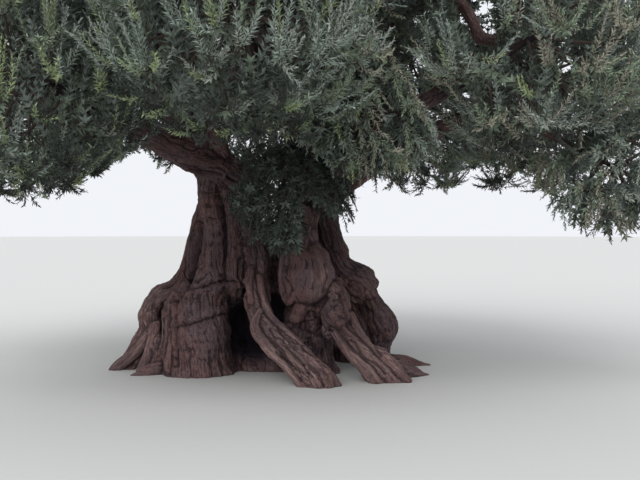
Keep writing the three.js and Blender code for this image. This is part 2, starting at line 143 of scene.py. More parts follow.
# The hollows, from the viewer's side to their closed end, as stations
HOLLOWS = {
    "left": [(-0.33, -1.1, 0.1, 0.24), (-0.24, -0.56, 0.4, 0.35), (-0.17, 0.17, 0.48, 0.25)],
    "right": [(0.06, -1.15, 0.8, 0.13), (0.08, -0.48, 0.74, 0.18), (0.02, 0.06, 0.64, 0.16)],
}
# Surface roots: start, bearing in degrees, length and radius
SURFACE_ROOTS = [
    ((1.2, 0.12, 0.06), 8, 0.62, 0.105),
    ((1.29, -0.72, 0.07), 33, 0.5, 0.11),
    ((-1.15, -0.42, 0.05), 200, 0.33, 0.08),
    ((-1.02, 0.68, 0.06), 130, 0.48, 0.11),
    ((0.13, 0.85, 0.07), 82, 0.47, 0.12),
    ((0.9, 0.68, 0.06), 38, 0.45, 0.1),
]
# The trunk's burls, as in the solids: centre and radius
BURLS = [
    ((0.735, -0.73, 0.665), 0.155), ((1.04, 0.02, 0.93), 0.17), ((-1.345, -0.05, 0.58), 0.145),
    ((0.07, 0.56, 0.72), 0.23),
]
# The masses of foliage: bearing in degrees, distance out, height and radius
MASSES = {
    "front": (-92, 3.05, 3.28, 1.35),
    "right_front": (-39, 3.2, 3.3, 1.35),
    "right": (2, 2.95, 3.26, 1.6),
    "right_back": (46, 2.85, 3.3, 1.6),
    "back": (92, 2.8, 3.35, 1.6),
    "left_back": (137, 2.85, 3.48, 1.55),
    "left": (182, 2.95, 3.15, 1.58),
    "left_front": (-129, 3.1, 2.88, 1.35),
    "right_low": (-27, 3.7, 2.13, 0.85),
    "back_low": (84, 3.5, 2.25, 0.85),
    "front_low": (-62, 2.1, 2.6, 0.85),
    "middle": (-76, 1.12, 1.86, 0.7),
    "upper_left_front": (-125, 1.85, 4.25, 1.5),
    "upper_right_front": (-60, 1.85, 4.45, 1.55),
    "upper_right": (12, 1.8, 4.55, 1.6),
    "upper_back": (86, 1.75, 4.5, 1.6),
    "upper_left": (158, 1.8, 4.55, 1.6),
    "top": (0, 0.06, 5.3, 1.5),
}
# A mass's height against its width, and the gap between two masses
SPACE_HEIGHT_SHARE = 0.85
NEIGHBOUR_GAP = 0.012
# The boughs: start, elbow and radius. Each then runs straight at its mass.
BOUGHS = {
    "left_front": ((-0.4, -0.5, 2.17), (-0.68, -0.69, 2.255), 0.168),
    "left": ((-0.62, -0.25, 2.08), (-1.0, -0.15, 2.56), 0.13),
    "left_back": ((-0.6, -0.11, 1.98), (-0.85, 0.4, 2.6), 0.12),
    "upper_left": ((-0.6, -0.23, 2.08), (-0.76, 0.06, 2.75), 0.13),
    "upper_left_front": ((-0.44, -0.56, 2.24), (-0.64, -0.8, 2.75), 0.105),
    "right_front": ((0.5, -0.34, 1.88), (0.86, -0.72, 2.4), 0.13),
    "right": ((0.56, -0.18, 1.86), (1.15, -0.1, 2.3), 0.14),
    "right_low": ((1.6, -0.08, 2.47), (2.3, -0.75, 2.85), 0.07),
    "front_low": ((0.6, -0.45, 1.98), (0.76, -1.0, 2.33), 0.075),
    "right_back": ((0.57, -0.06, 1.78), (1.0, 0.5, 2.25), 0.13),
    "back": ((0.48, -0.03, 1.76), (0.33, 0.8, 2.3), 0.13),
    "back_low": ((0.34, 0.74, 2.24), (0.48, 1.7, 2.4), 0.075),
    "front": ((0.42, -0.38, 1.86), (0.24, -1.0, 2.65), 0.105),
    "middle": ((0.43, -0.42, 1.6), (0.4, -0.64, 1.76), 0.066),
    "top": ((0.5, -0.2, 1.9), (0.25, 0.03, 3.0), 0.165),
    "upper_right": ((0.3, -0.01, 2.8), (0.8, 0.12, 3.5), 0.1),
    "upper_right_front": ((0.34, -0.05, 2.65), (0.62, -0.6, 3.3), 0.1),
    "upper_back": ((0.24, 0.035, 3.05), (0.18, 0.55, 3.6), 0.1),
}
# A bough's girth at the elbow and tip, and its stem's at two places, as shares of the girth
# where each begins
ELBOW_GIRTH, TIP_GIRTH = 0.88, 0.62
STEM_GIRTHS = (0.62, 0.42)
# The dead limb that hangs to a broken end
STUB = [
    (0.63, -0.61, 3.29, 0.088), (1.24, -0.8, 3.69, 0.074), (1.9, -0.98, 3.86, 0.062),
    (2.06, -1.0, 3.68, 0.058), (2.165, -1.0, 3.47, 0.068), (2.31, -1.0, 3.45, 0.05),
]
# A thin dead twig that arches from the dead limb
DEAD_TWIG = [
    (1.86, -0.98, 3.86, 0.02), (2.12, -1.0, 3.98, 0.016), (2.33, -1.0, 3.88, 0.013),
    (2.48, -1.0, 3.77, 0.011), (2.526, -1.0, 3.56, 0.007),
]
# Ridges and toes that stand out of the ribs where the trunk is seen from the front
CORDS = [
    [(0.17, -0.48, 1.29, 0.04), (0.15, -0.54, 1.02, 0.044), (0.185, -0.57, 0.86, 0.056)],
    [(-0.06, -0.69, 0.7, 0.045), (-0.105, -0.775, 0.54, 0.072), (-0.02, -0.9, 0.398, 0.058),
     (0.118, -1.02, 0.263, 0.062), (0.3, -1.13, 0.11, 0.066), (0.4, -1.18, -0.03, 0.06)],
    [(-0.09, -0.56, 1.06, 0.04), (-0.04, -0.65, 0.816, 0.046), (0.034, -0.74, 0.64, 0.05),
     (0.245, -0.9, 0.46, 0.055), (0.47, -1.04, 0.26, 0.06), (0.66, -1.13, 0.06, 0.062),
     (0.72, -1.16, -0.04, 0.06)],
    [(-0.18, -0.56, 1.15, 0.036), (-0.205, -0.59, 0.96, 0.048), (-0.16, -0.64, 0.79, 0.04)],
    [(0.19, -0.985, 0.42, 0.036), (0.33, -1.09, 0.27, 0.044), (0.5, -1.22, 0.08, 0.052),
     (0.54, -1.26, -0.03, 0.05)],
    [(0.79, -0.67, 0.85, 0.05), (0.905, -0.79, 0.59, 0.048), (1.09, -0.86, 0.36, 0.055),
     (1.33, -0.9, 0.11, 0.07), (1.46, -0.93, -0.02, 0.06)],
    [(0.7, -0.79, 0.5, 0.045), (0.84, -0.87, 0.3, 0.055), (1.06, -0.96, 0.09, 0.062),
     (1.14, -0.99, -0.03, 0.06)],
    [(-1.32, -0.12, 0.42, 0.058), (-1.48, -0.14, 0.215, 0.06), (-1.69, -0.15, 0.03, 0.06),
     (-1.76, -0.15, -0.05, 0.05)],
    [(-1.27, -0.14, 0.44, 0.062), (-1.32, -0.22, 0.18, 0.066), (-1.4, -0.28, -0.02, 0.07)],
    [(-0.74, -0.37, 1.34, 0.036), (-0.775, -0.39, 1.12, 0.05), (-0.85, -0.46, 0.92, 0.058)],
    [(-1.04, -0.45, 0.74, 0.05), (-1.01, -0.53, 0.42, 0.052), (-1.03, -0.56, 0.06, 0.07)],
]
# Knots and lumps of the wood: centre and radius
KNOTS = [
    ((0.8, -0.25, 0.978), 0.06), ((0.34, -0.545, 0.706), 0.08), ((0.466, -0.52, 0.548), 0.09),
    ((0.371, -0.52, 0.412), 0.082), ((0.529, -0.52, 0.33), 0.08), ((0.215, -0.6, 0.83), 0.07),
    ((-0.3, -0.52, 0.985), 0.07), ((-1.085, -0.37, 0.64), 0.085), ((0.64, -0.7, 0.5), 0.08),
    ((0.62, -0.42, 0.72), 0.16), ((0.64, -0.38, 0.9), 0.17), ((-1.18, -0.16, 0.3), 0.17),
    ((-1.16, -0.16, 0.08), 0.19), ((-1.24, -0.11, 0.44), 0.13), ((-0.9, 0.0, 1.02), 0.1),
    ((0.86, -0.06, 0.84), 0.06), ((0.3, -0.56, 0.6), 0.07), ((0.25, -0.56, 0.48), 0.065),
]
# How deep the bark's relief is on each limb, against a common depth
COMMON_COARSENESS = 0.8
COARSENESS = {
    "column": 0.75, "second_rib": 0.95, "centre_leg": 1.25, "left_heel": 1.0, "left_leg": 0.8,
    "burl": 0.44, "right_leg": 0.85, "back_lobe": 0.9, "inner_knot": 1.4, "cord_0": 0.6,
}
# Places where the bark lies smoother and is ringed: centre and spread
CALM = [
    ((-0.62, -0.45, 1.56), (0.2, 0.3, 0.5)), ((-0.62, -0.7, 0.38), (0.33, 0.26, 0.2)),
]
# Places where shade is painted into the wood's colour, where it is set back or shadowed: centre,
# spread and how much
SHADE_PAINTED_PLACES = [
    ((-0.36, -0.42, 1.45), (0.13, 0.22, 0.6), 0.3), ((-0.1, -0.66, 0.6), (0.15, 0.25, 0.3), 0.17),
    ((0.42, -0.62, 1.0), (0.3, 0.26, 0.36), 0.12), ((0.82, -0.72, 0.58), (0.22, 0.3, 0.28), 0.2),
    ((0.66, -0.15, 1.55), (0.18, 0.38, 0.42), 0.5),
    ((-0.15, -0.52, 1.45), (0.11, 0.25, 0.38), 0.32),
    ((0.44, -0.54, 0.48), (0.22, 0.22, 0.28), 0.24),
    ((1.18, -0.05, 0.45), (0.23, 0.4, 0.32), 0.18),
    ((-0.85, -0.2, 1.15), (0.08, 0.45, 0.38), 0.34),
]
# How strong the shade painted on the boughs inside the crown is
CROWN_PAINTED_SHADE = 0.72
# Places where the wood is pale, partly weathered and partly painted light where it faces the light
# or stands out of the crown's shade: centre and spread
WEAR_AND_LIGHT = [
    ((0.25, -1.05, 0.25), (0.55, 0.4, 0.42)), ((-0.08, -0.75, 0.6), (0.16, 0.25, 0.4)),
    ((1.1, -0.9, 0.25), (0.4, 0.3, 0.3)), ((0.6, -0.66, 1.0), (0.16, 0.2, 0.26)),
    ((-1.38, -0.15, 0.6), (0.3, 0.4, 0.5)), ((2.12, -1.0, 3.6), (0.4, 0.25, 0.5)),
]
# Grooves that cross the front of the trunk: width, depth, how far the lip below swells, and
# places along them as x and z
GROOVES = [
    (0.018, 0.05, 0.022, [(-0.98, 0.9), (-0.9, 0.917), (-0.7, 0.962), (-0.52, 0.98), (-0.36, 1.0)]),
    (0.026, 0.034, -0.02, [(-0.95, 0.545), (-0.8, 0.575), (-0.56, 0.64), (-0.45, 0.66)]),
    (0.016, 0.05, 0.0, [(-0.985, 0.79), (-0.975, 0.56), (-0.985, 0.3), (-0.96, 0.12)]),
    (0.018, 0.05, 0.0, [(-1.19, 0.72), (-1.18, 0.5), (-1.19, 0.28)]),
    (0.013, 0.02, 0.0, [(-0.5, 2.05), (-0.475, 1.7), (-0.47, 1.3), (-0.475, 1.06)]),
    (0.016, 0.045, 0.0, [(-0.29, 1.25), (-0.3, 1.08), (-0.262, 0.92), (-0.24, 0.84)]),
    (0.012, 0.018, 0.0, [(-0.72, 1.675), (-0.6, 1.665), (-0.5, 1.67)]),
    (0.01, 0.012, 0.0, [(-0.74, 1.96), (-0.62, 1.945), (-0.52, 1.95)]),
    (0.014, 0.03, 0.0, [(0.215, 1.23), (0.205, 1.05), (0.245, 0.9)]),
    (0.014, 0.024, 0.0, [(0.6, 1.18), (0.64, 1.04), (0.6, 0.9)]),
    (0.018, 0.05, 0.0, [(0.03, 0.52), (0.18, 0.4), (0.33, 0.27), (0.47, 0.11)]),
    (0.014, 0.04, 0.0, [(0.12, 0.33), (0.26, 0.2), (0.37, 0.07)]),
    (0.015, 0.036, 0.0, [(0.86, 0.42), (1.0, 0.28), (1.2, 0.1)]),
    (0.018, 0.034, 0.0, [(0.88, 0.72), (0.98, 0.7), (1.1, 0.76), (1.18, 0.8)]),
    (0.042, 0.13, 0.0, [(-0.752, 1.62), (-0.775, 1.45), (-0.802, 1.28), (-0.855, 1.08),
                        (-0.92, 0.94), (-1.0, 0.81)]),
    (0.03, 0.06, 0.0, [(0.96, 0.76), (1.015, 0.62), (1.085, 0.46), (1.17, 0.3)]),
]
# Pits in the weathered wood: centre and radius
PIT_DEPTH = 0.055
PITS = [
    ((0.2, -1.0, 0.33), 0.045), ((0.5, -1.25, 0.215), 0.05), ((0.3, -1.06, 0.38), 0.034),
    ((-0.47, -0.63, 0.86), 0.034), ((-0.6, -0.5, 1.18), 0.026), ((0.09, -0.93, 0.44), 0.03),
]
# Knots whose grain winds in a spiral: centre and radius
SPIRAL_DEPTH = 0.013
SPIRAL_KNOTS = [
    ((0.735, -0.8, 0.665), 0.165), ((0.43, -0.6, 0.39), 0.11), ((0.2, -0.62, 0.85), 0.065),
]
# The relief's sizes: of its ridges across the limb twice and along it, then of its lumps and
# knobs, the girth under which a limb has less of it, and how round the ridges are
CORD_SIZE = (0.15, 0.15, 1.0)
STRAND_SIZE = (0.064, 0.064, 0.42)
THREAD_SIZE = (0.031, 0.031, 0.17)
PLATE_SIZE = (0.14, 0.14, 0.085)
LUMP_SIZE = 0.42
KNOB_SIZE = 0.15
THIN_LIMB = 0.15
RIDGE_ROUNDNESS = 0.7

# Masses that hang rather than rise, and how much fuller than the rest a mass is
DROOPING = ("right_low", "back_low", "front_low", "middle")
FULLNESS = {
    "middle": 2.5, "front_low": 1.8, "right_low": 1.4, "front": 1.4, "left_front": 1.3,
    "right_front": 1.25, "upper_right_front": 1.15, "upper_back": 0.9, "right_back": 0.9,
    "left_back": 0.9, "upper_left": 0.9,
}
# Masses in the shade of the rest, whose sprays take tints of painted shade
DIM = ("middle",)
# The radius of a mass of common size
COMMON_RADIUS = 1.35
# The levels of growth in a mass: where its limbs end as shares of the reach, points along a
# limb, its radii at the foot and tip, and how far it bows
LEVELS = {
    "branches": ((0.5, 0.68), 7, (0.022, 0.009), 0.1),
    "twigs": ((0.62, 0.9), 5, (0.008, 0.004), 0.12),
    "shoots": ((0.4, 0.99), 3, (0.0036, 0.0018), 0.3),
}
# Shoots to a branch and to a twig, and the fewest branches and twigs
SHOOTS_TO_BRANCH, FEWEST_BRANCHES = 44, 8
SHOOTS_TO_TWIG, FEWEST_TWIGS = 7, 24
# How far a mass lifts its limbs, and how upright its shoots stand: rising, then hanging
LIFT, RISE = (0.55, -0.4), (0.26, -0.15)
# How wide a tuft of the crown's outside is, and how deep the dips between tufts are
TUFT_SIZE = 0.62
TUFT_DEPTH = 0.22
DIM_TUFT_DEPTH = 0.06
# How far twigs keep from the trunk and boughs
WOOD_ROOM = 0.03
# How deep in the crown its dark inside begins, and what share of the shoots grows there
DARK_DEPTH = 0.65
DARK_SHARE = 0.18
# Gaps in the crown on the viewer's line of sight: the place seen, the gap's radius there, and
# whether it goes on behind that place to the sky
WINDOWS = [
    ((2.02, -1.0, 3.74), 0.12, False), ((2.11, -1.0, 3.59), 0.13, False),
    ((2.25, -1.0, 3.45), 0.14, False), ((2.22, -1.0, 3.78), 0.07, True),
    ((-0.85, -0.85, 2.38), 0.15, False), ((-0.5, -0.6, 2.1), 0.16, False),
    ((0.5, -0.72, 1.68), 0.15, False), ((0.49, -0.72, 1.52), 0.16, False),
    ((0.5, -0.72, 1.36), 0.18, False), ((0.68, -0.72, 1.56), 0.13, False),
    ((0.68, -0.72, 1.4), 0.15, False), ((2.97, -1.0, 3.46), 0.055, True),
    ((3.03, -1.0, 3.18), 0.06, True), ((2.02, -1.0, 2.89), 0.05, True),
    ((-1.0, -2.4, 2.06), 0.16, True), ((-1.17, -2.4, 2.01), 0.12, True),
]

# The camera stands at eye height, and its pitch sets the horizon above the middle of the frame
CAMERA_PLACE = (0.55, -10.15, 1.6)
CAMERA_PITCH_DEG = -0.95
CAMERA_LENS_MM = 51.1
CAMERA_SENSOR_MM = 36.0
CAMERA_REACH = 400.0
FLOOR_RADIUS = 120.0
SKY_COLOUR = (0.93, 0.95, 1.0)
# The soft light from above: how it is turned, and how wide it looks
KEY_TURN_DEG = (48, -22, 0)
KEY_SOFTNESS_DEG = 50
# Most triangles of a piece, and how far under its limit the thinning aims
PIECE_LIMIT = 196000
THINNING_MARGIN = 1000
# The slabs that cut the wood flat: how wide they are, and how far down and up they go
SLAB_WIDTH = 16
FAR_DOWN = 2.0
FAR_UP = 8.0
# What brings the noise near a range of -1 to 1, and the side from which frames are turned
NOISE_STRENGTH = 1.7
FIRST_SIDE = (0.3, 1.0, 0.1)
# How many points are measured at a time, to hold memory down
SKIN_BATCH = 8000
SHOOT_BATCH = 4000
PARENT_BATCH = 500


def unit(vectors):
    """Vectors of length one."""
    return vectors / np.maximum(np.linalg.norm(vectors, axis=-1, keepdims=True), 1e-9)


def away_from(points, centre, spread=1.0):
    """How far points are from a centre, where each direction is measured by its own spread."""
    return np.linalg.norm((points - centre) / spread, axis=1)


def distances(points, others):
    """How far each point is from each of the others."""
    squares = np.sum(points**2, 1)[:, None] + np.sum(others**2, 1)[None]
    return np.sqrt(np.maximum(squares - 2 * points @ others.T, 0))


def batches(count, size):
    """Slices of that size that cover a count."""
    return [slice(low, low + size) for low in range(0, count, size)]


class Noise:
    """Seeded gradient noise in three dimensions, for whole arrays of points."""

    def __init__(self, seed):
        random = np.random.default_rng(seed)
        self.order = random.permutation(256)
        self.gradients = unit(random.normal(size=(256, 3)))

    def __call__(self, points):
        cell = np.floor(points).astype(int)
        part = points - cell
        ease = part**3 * (part * (part * 6 - 15) + 10)
        total = np.zeros(len(points))
        for corner in itertools.product((0, 1), repeat=3):
            at = cell + corner
            key = self.order[at[:, 0] & 255]
            key = self.order[(key + at[:, 1]) & 255]
            key = self.order[(key + at[:, 2]) & 255]
            weight = np.prod(np.where(corner, ease, 1 - ease), axis=1)
            total += weight * np.einsum("ij,ij->i", self.gradients[key], part - corner)
        return total * NOISE_STRENGTH


def spline(stations, step):
    """Points and radii along a centripetal curve through the stations, the solids' own curve."""
    stations = np.array(stations, float)
    middle = stations[:, :3]
    padded = np.vstack([2 * middle[0] - middle[1], middle, 2 * middle[-1] - middle[-2]])
    points, radii = [], []
    for i in range(len(middle) - 1):
        a, b, c, d = padded[i : i + 4]
        chords = (max(np.linalg.norm(q - p), 1e-4) for p, q in ((a, b), (b, c), (c, d)))
        before, here, after = (math.sqrt(chord) for chord in chords)
        leave = ((b - a) / before - (c - a) / (before + here) + (c - b) / here) * here
        arrive = ((c - b) / here - (d - b) / (here + after) + (d - c) / after) * here
        count = max(2, math.ceil(np.linalg.norm(c - b) / step))
        for share in np.arange(count) / count:
            cubic = (2 * b - 2 * c + leave + arrive) * share**3
            square = (3 * c - 3 * b - 2 * leave - arrive) * share**2
            points.append(b + leave * share + square + cubic)
            ease = share**2 * (3 - 2 * share)
            radii.append(stations[i, 3] + (stations[i + 1, 3] - stations[i, 3]) * ease)
    points.append(middle[-1])
    radii.append(stations[-1, 3])
    return np.array(points), np.array(radii)


class Limb:
    """One tapering limb, with frames along it that don't twist."""

    def __init__(self, name, stations, step=0.05):
        self.name = name
        self.points, self.radii = spline(stations, step)
        self.tangents = unit(np.gradient(self.points, axis=0))
        steps = np.linalg.norm(np.diff(self.points, axis=0), axis=1)
        self.along = np.concatenate([[0], np.cumsum(steps)])
        normal = unit(np.cross(self.tangents[0], FIRST_SIDE))
        normals = []
        for tangent in self.tangents:
            normal = unit(normal - tangent * np.dot(normal, tangent))
            normals.append(normal)
        self.normals = np.array(normals)
        self.binormals = np.cross(self.tangents, self.normals)


class Space:
    """A mass's own space: a flattened ball, cut by flat borders with its neighbours."""

    def __init__(self, name):
        bearing, out, height, self.radius = MASSES[name]
        turn = math.radians(bearing)
        self.centre = np.array([math.cos(turn) * out, math.sin(turn) * out, height])

    def flattened(self, points):
        """Places from the centre, in a frame in which the space is a round ball."""
        return (points - self.centre) / (1, 1, SPACE_HEIGHT_SHARE)

    def squared(self, points):
        """Squared distance from the centre less the squared radius: under 0 inside the ball."""
        return np.sum(self.flattened(points) ** 2, axis=-1) - self.radius**2

    def others(self):
        return [space for space in SPACES.values() if space is not self]

    def border(self, other):
        """How much nearer than the other space a point has to be, on the squared scale."""
        return 2 * NEIGHBOUR_GAP * np.linalg.norm(other.centre - self.centre)

    def holds(self, points):
        """Which points lie inside."""
        own = self.squared(points)
        inside = own < 0
        for other in self.others():
            inside &= other.squared(points) - own > self.border(other)
        return inside

    def ball_reach(self, start, heading):
        """How far rays from inside run before they leave the ball."""
        flat = heading / (1, 1, SPACE_HEIGHT_SHARE)
        a = np.sum(flat**2, axis=-1)
        b = np.sum(self.flattened(start) * flat, axis=-1)
        c = self.squared(start)
        return (-b + np.sqrt(np.maximum(0, b * b - a * c))) / a

    def reach(self, start, heading):
        """How far rays from inside run before they leave the space."""
        reach = self.ball_reach(start, heading)
        for other in self.others():
            here = other.squared(start) - self.squared(start)
            slope = other.squared(start + heading) - self.squared(start + heading) - here
            room = (here - self.border(other)) / np.where(slope < 0, -slope, 1)
            reach = np.where(slope < 0, np.minimum(reach, room), reach)
        return reach


SPACES = {name: Space(name) for name in MASSES}


def bough_stations(name):
    """A bough's stations, and the stem that goes on from its tip to the middle of its mass."""
    start, elbow, radius = BOUGHS[name]
    space = SPACES[name]
    elbow = np.array(elbow)
    distance = np.linalg.norm(space.centre - elbow)
    heading = (space.centre - elbow) / distance
    tip = space.centre - heading * min(distance * 0.8, space.ball_reach(space.centre, -heading))
    tip_radius = radius * TIP_GIRTH
    middle = elbow + (tip - elbow) * 0.55
    return [
        (*start, radius),
        (*elbow, radius * ELBOW_GIRTH),
        (*middle, (radius * ELBOW_GIRTH + tip_radius) / 2),
        (*tip, tip_radius),
        (*(tip * 0.45 + space.centre * 0.55), tip_radius * STEM_GIRTHS[0]),
        (*space.centre, tip_radius * STEM_GIRTHS[1]),
    ]


def rib_stations(name):
    """A rib's stations, run on below the ground so that the flat cut trims it."""
    foot = RIBS[name][0]
    buried = (foot[0], foot[1], foot[2] - BELOW_GROUND, foot[3] * BURIED_GIRTH)
    return [buried, *RIBS[name][0 if foot[2] > 0 else 1 :]]


def root_stations(start, bearing, length, radius):
    """A surface root's stations, from inside the trunk to where it dips under the ground."""
    turn = math.radians(bearing)
    east, north = math.cos(turn) * length, math.sin(turn) * length
    places = ((-0.4, start[2] + radius * 0.6, 1.0), (0.3, start[2], 0.85),
              (1.0, -radius * 0.35, 0.45))
    return [(start[0] + east * share, start[1] + north * share, height, radius * girth)
            for share, height, girth in places]


LIMBS = {name: Limb(name, rib_stations(name)) for name in RIBS}
for number, root in enumerate(SURFACE_ROOTS):
    LIMBS[f"root_{number}"] = Limb(f"root_{number}", root_stations(*root))
for mass in BOUGHS:
    LIMBS[f"bough_{mass}"] = Limb(f"bough_{mass}", bough_stations(mass))
LIMBS["bough_stub"] = Limb("bough_stub", STUB)
CORD_LIMBS = [Limb(f"cord_{number}", stations) for number, stations in enumerate(CORDS)]
WOOD_POINTS = np.concatenate([limb.points for limb in LIMBS.values()])
WOOD_RADII = np.concatenate([limb.radii for limb in LIMBS.values()])


class Field:
    """A node's output that Python's operators turn into Math nodes."""

    def __init__(self, graph, socket):
        self.graph = graph
        self.socket = socket

    def __add__(self, other):
        return self.graph.math("ADD", self, other)

    def __rsub__(self, other):
        return self.graph.math("SUBTRACT", other, self)

    def __mul__(self, other):
        return self.graph.math("MULTIPLY", self, other)

    __radd__ = __add__
    __rmul__ = __mul__

    def clamped(self):
        """The number held between 0 and 1."""
        return self.graph.node("ShaderNodeClamp", inputs={"Value": self})

    def step(self, low, high):
        """0 below low and 1 above high, with a smooth rise between."""
        settings = {"interpolation_type": "SMOOTHSTEP"}
        inputs = {"Value": self, "From Min": low, "From Max": high}
        return self.graph.node("ShaderNodeMapRange", settings, inputs)


class Graph:
    """Adds nodes to one node tree."""

    def __init__(self, tree):
        self.tree = tree

    def node(self, kind, settings=None, inputs=None, output=0):
        """A node with its settings, then the values or links of its inputs. Gives one output."""
        made = self.tree.nodes.new(kind)
        for name, value in (settings or {}).items():
            setattr(made, name, value)
        for key, value in (inputs or {}).items():
            self.feed(made.inputs[key], value)
        return Field(self, made.outputs[output]) if made.outputs else made

    def feed(self, socket, value):
        if isinstance(value, Field):
            self.tree.links.new(value.socket, socket)
        else:
            socket.default_value = value

    def math(self, operation, *values):
        return self.node("ShaderNodeMath", {"operation": operation}, dict(enumerate(values)))

    def mix(self, factor, first, second):
        """A colour between two others."""
        inputs = {"Factor": factor, 6: first, 7: second}
        return self.node("ShaderNodeMix", {"data_type": "RGBA"}, inputs, output=2)


def shader_graph(name):
    """A new material, its node adder and its surface shader."""
    material = bpy.data.materials.new(name)
    material.use_nodes = True
    return material, Graph(material.node_tree), material.node_tree.nodes["Principled BSDF"]


def rgba(colour):
    return (*colour, 1.0)


def plain_material(name, colour, roughness, shine):
    """A material of one plain colour."""
    material, _, surface = shader_graph(name)
    surface.inputs["Base Color"].default_value = rgba(colour)
    surface.inputs["Roughness"].default_value = roughness
    surface.inputs["Specular IOR Level"].default_value = shine
    return material


def leaf_material(name, colour):
    """Leaves of one plain colour: each spray takes one of a few such colours."""
    return plain_material(name, colour, 0.52, 0.4)


def twig_material(name, colour):
    """The thin bark of twigs."""
    return plain_material(name, colour, 0.9, 0.2)


def bark_material(name, wood):
    """Bark whose fibres follow each limb: dark in the grooves, partly dirt and partly painted
    shade, pale on weathered ridges and where painted light falls, with reddish and grey patches, a
    little lichen, and painted shade in the hollows, under the crown and in set-back places."""
    material, graph, surface = shader_graph(name)

    def stored(attribute, output="Fac"):
        settings = {"attribute_name": attribute, "attribute_type": "GEOMETRY"}
        return graph.node("ShaderNodeAttribute", settings, output=output)

    def pattern(vector, scale, detail, roughness, stretch=1):
        inputs = {0: vector, 1: (1, 1, stretch)}
        place = graph.node("ShaderNodeVectorMath", {"operation": "MULTIPLY"}, inputs)
        inputs = {"Vector": place, "Scale": scale, "Detail": detail, "Roughness": roughness}
        return graph.node("ShaderNodeTexNoise", inputs=inputs)

    grain = stored("grain", "Vector")
    cavity, damp, worn, smoothness = map(stored, ("cavity", "damp", "worn", "smoothness"))
    place = graph.node("ShaderNodeTexCoord", output="Object")
    fibre = pattern(grain, 42.0, 5.0, 0.65, 0.10)
    fissure = pattern(grain, 15.0, 4.0, 0.58, 0.15)
    fleck = pattern(grain, 70.0, 3.0, 0.7, 0.20)
    patch = pattern(place, 2.6, 3.0, 0.6)
    blotch = pattern(place, 9.0, 3.0, 0.6)
    speckle = pattern(place, 85.0, 3.0, 0.65)
    growth = pattern(place, 5.0, 4.0, 0.6)
    rough = 1.0 - smoothness * 0.75
    # Ridges turn pale, partly weathered wood and partly painted light on the ridges
    ridge = (0.0 - cavity).step(-0.05, 0.75) * fibre.step(0.40, 0.62)
    bleached = worn * fibre.step(0.44, 0.58)
    pale = ((ridge * (0.38 + worn * 0.75) + bleached * 0.62) * rough).clamped()
    layers = (
        (blotch.step(0.5, 0.72) * 0.5, wood.bark_tan),
        (pale, wood.bark_pale),
        # Dark in the grooves: partly dirt, partly painted shade in the creases
        ((cavity.step(0.02, 0.75) * 0.85).clamped(), wood.bark_dark),
        (fissure.step(0.52, 0.36) * (1.0 - smoothness * 0.8) * 0.62, wood.bark_dark),
        (fleck.step(0.48, 0.36) * (1.0 - smoothness * 0.5) * 0.85, wood.bark_dark),
        (speckle.step(0.48, 0.38) * rough * 0.60, wood.bark_dark),
        # A pale wash where the wood is weathered and where painted light falls
        (worn * 0.15, wood.bark_pale),
        (speckle.step(0.58, 0.72) * fibre.step(0.45, 0.6) * 0.65 * rough, wood.bark_pale),
        (growth.step(0.60, 0.70) * speckle.step(0.42, 0.6) * 0.55, wood.lichen),
        # Painted shade in the hollows, on the boughs inside the crown and in set-back places
        (damp, wood.hollow),
    )
    colour = graph.mix(patch.step(0.40, 0.58), rgba(wood.bark_red), rgba(wood.bark_grey))
    for share, layer in layers:
        colour = graph.mix(share, colour, rgba(layer))
    graph.feed(surface.inputs["Base Color"], colour)
    graph.feed(surface.inputs["Roughness"], (0.96 - pale * 0.22).clamped())
    surface.inputs["Specular IOR Level"].default_value = 0.22
    height = (fibre * 0.60 + fissure * 1.1 + fleck * 0.50) * rough + speckle * 0.35
    inputs = {"Height": height, "Strength": 1.0, "Distance": 0.032}
    graph.feed(surface.inputs["Normal"], graph.node("ShaderNodeBump", inputs=inputs))
    return material


def geometry_tree(name, inputs):
    """A geometry node tree with the named inputs, its node adder and a giver of those inputs."""
    tree = bpy.data.node_groups.new(name, "GeometryNodeTree")
    tree.interface.new_socket("Geometry", in_out="INPUT", socket_type="NodeSocketGeometry")
    for label, kind in inputs.items():
        tree.interface.new_socket(label, in_out="INPUT", socket_type=kind)
    tree.interface.new_socket("Geometry", in_out="OUTPUT", socket_type="NodeSocketGeometry")
    graph = Graph(tree)
    entry = tree.nodes.new("NodeGroupInput")
    return tree, graph, lambda label: Field(graph, entry.outputs[label])


def finish_tree(graph, geometry, material):
    """Ends a geometry tree: realized instances with their material."""
    real = graph.node("GeometryNodeRealizeInstances", inputs={"Geometry": geometry})
    done = graph.node("GeometryNodeSetMaterial", inputs={"Geometry": real, "Material": material})
    graph.node("NodeGroupOutput", inputs={"Geometry": done})


def stored_number(graph, name):
    return graph.node("GeometryNodeInputNamedAttribute", {"data_type": "FLOAT"}, {"Name": name})


def tube_tree():
    """Closed tubes along the edges of a mesh, as thick as its girth attribute."""
    kinds = {"Sides": "NodeSocketInt", "Material": "NodeSocketMaterial"}
    tree, graph, given = geometry_tree("Tubes along limbs", kinds)
    curve = graph.node("GeometryNodeMeshToCurve", inputs={"Mesh": given("Geometry")})
    inputs = {"Resolution": given("Sides"), "Radius": 1.0}
    ring = graph.node("GeometryNodeCurvePrimitiveCircle", inputs=inputs)
    girth = stored_number(graph, "girth")
    inputs = {"Curve": curve, "Profile Curve": ring, "Scale": girth, "Fill Caps": True}
    tube = graph.node("GeometryNodeCurveToMesh", inputs=inputs)
    finish_tree(graph, tube, given("Material"))
    return tree


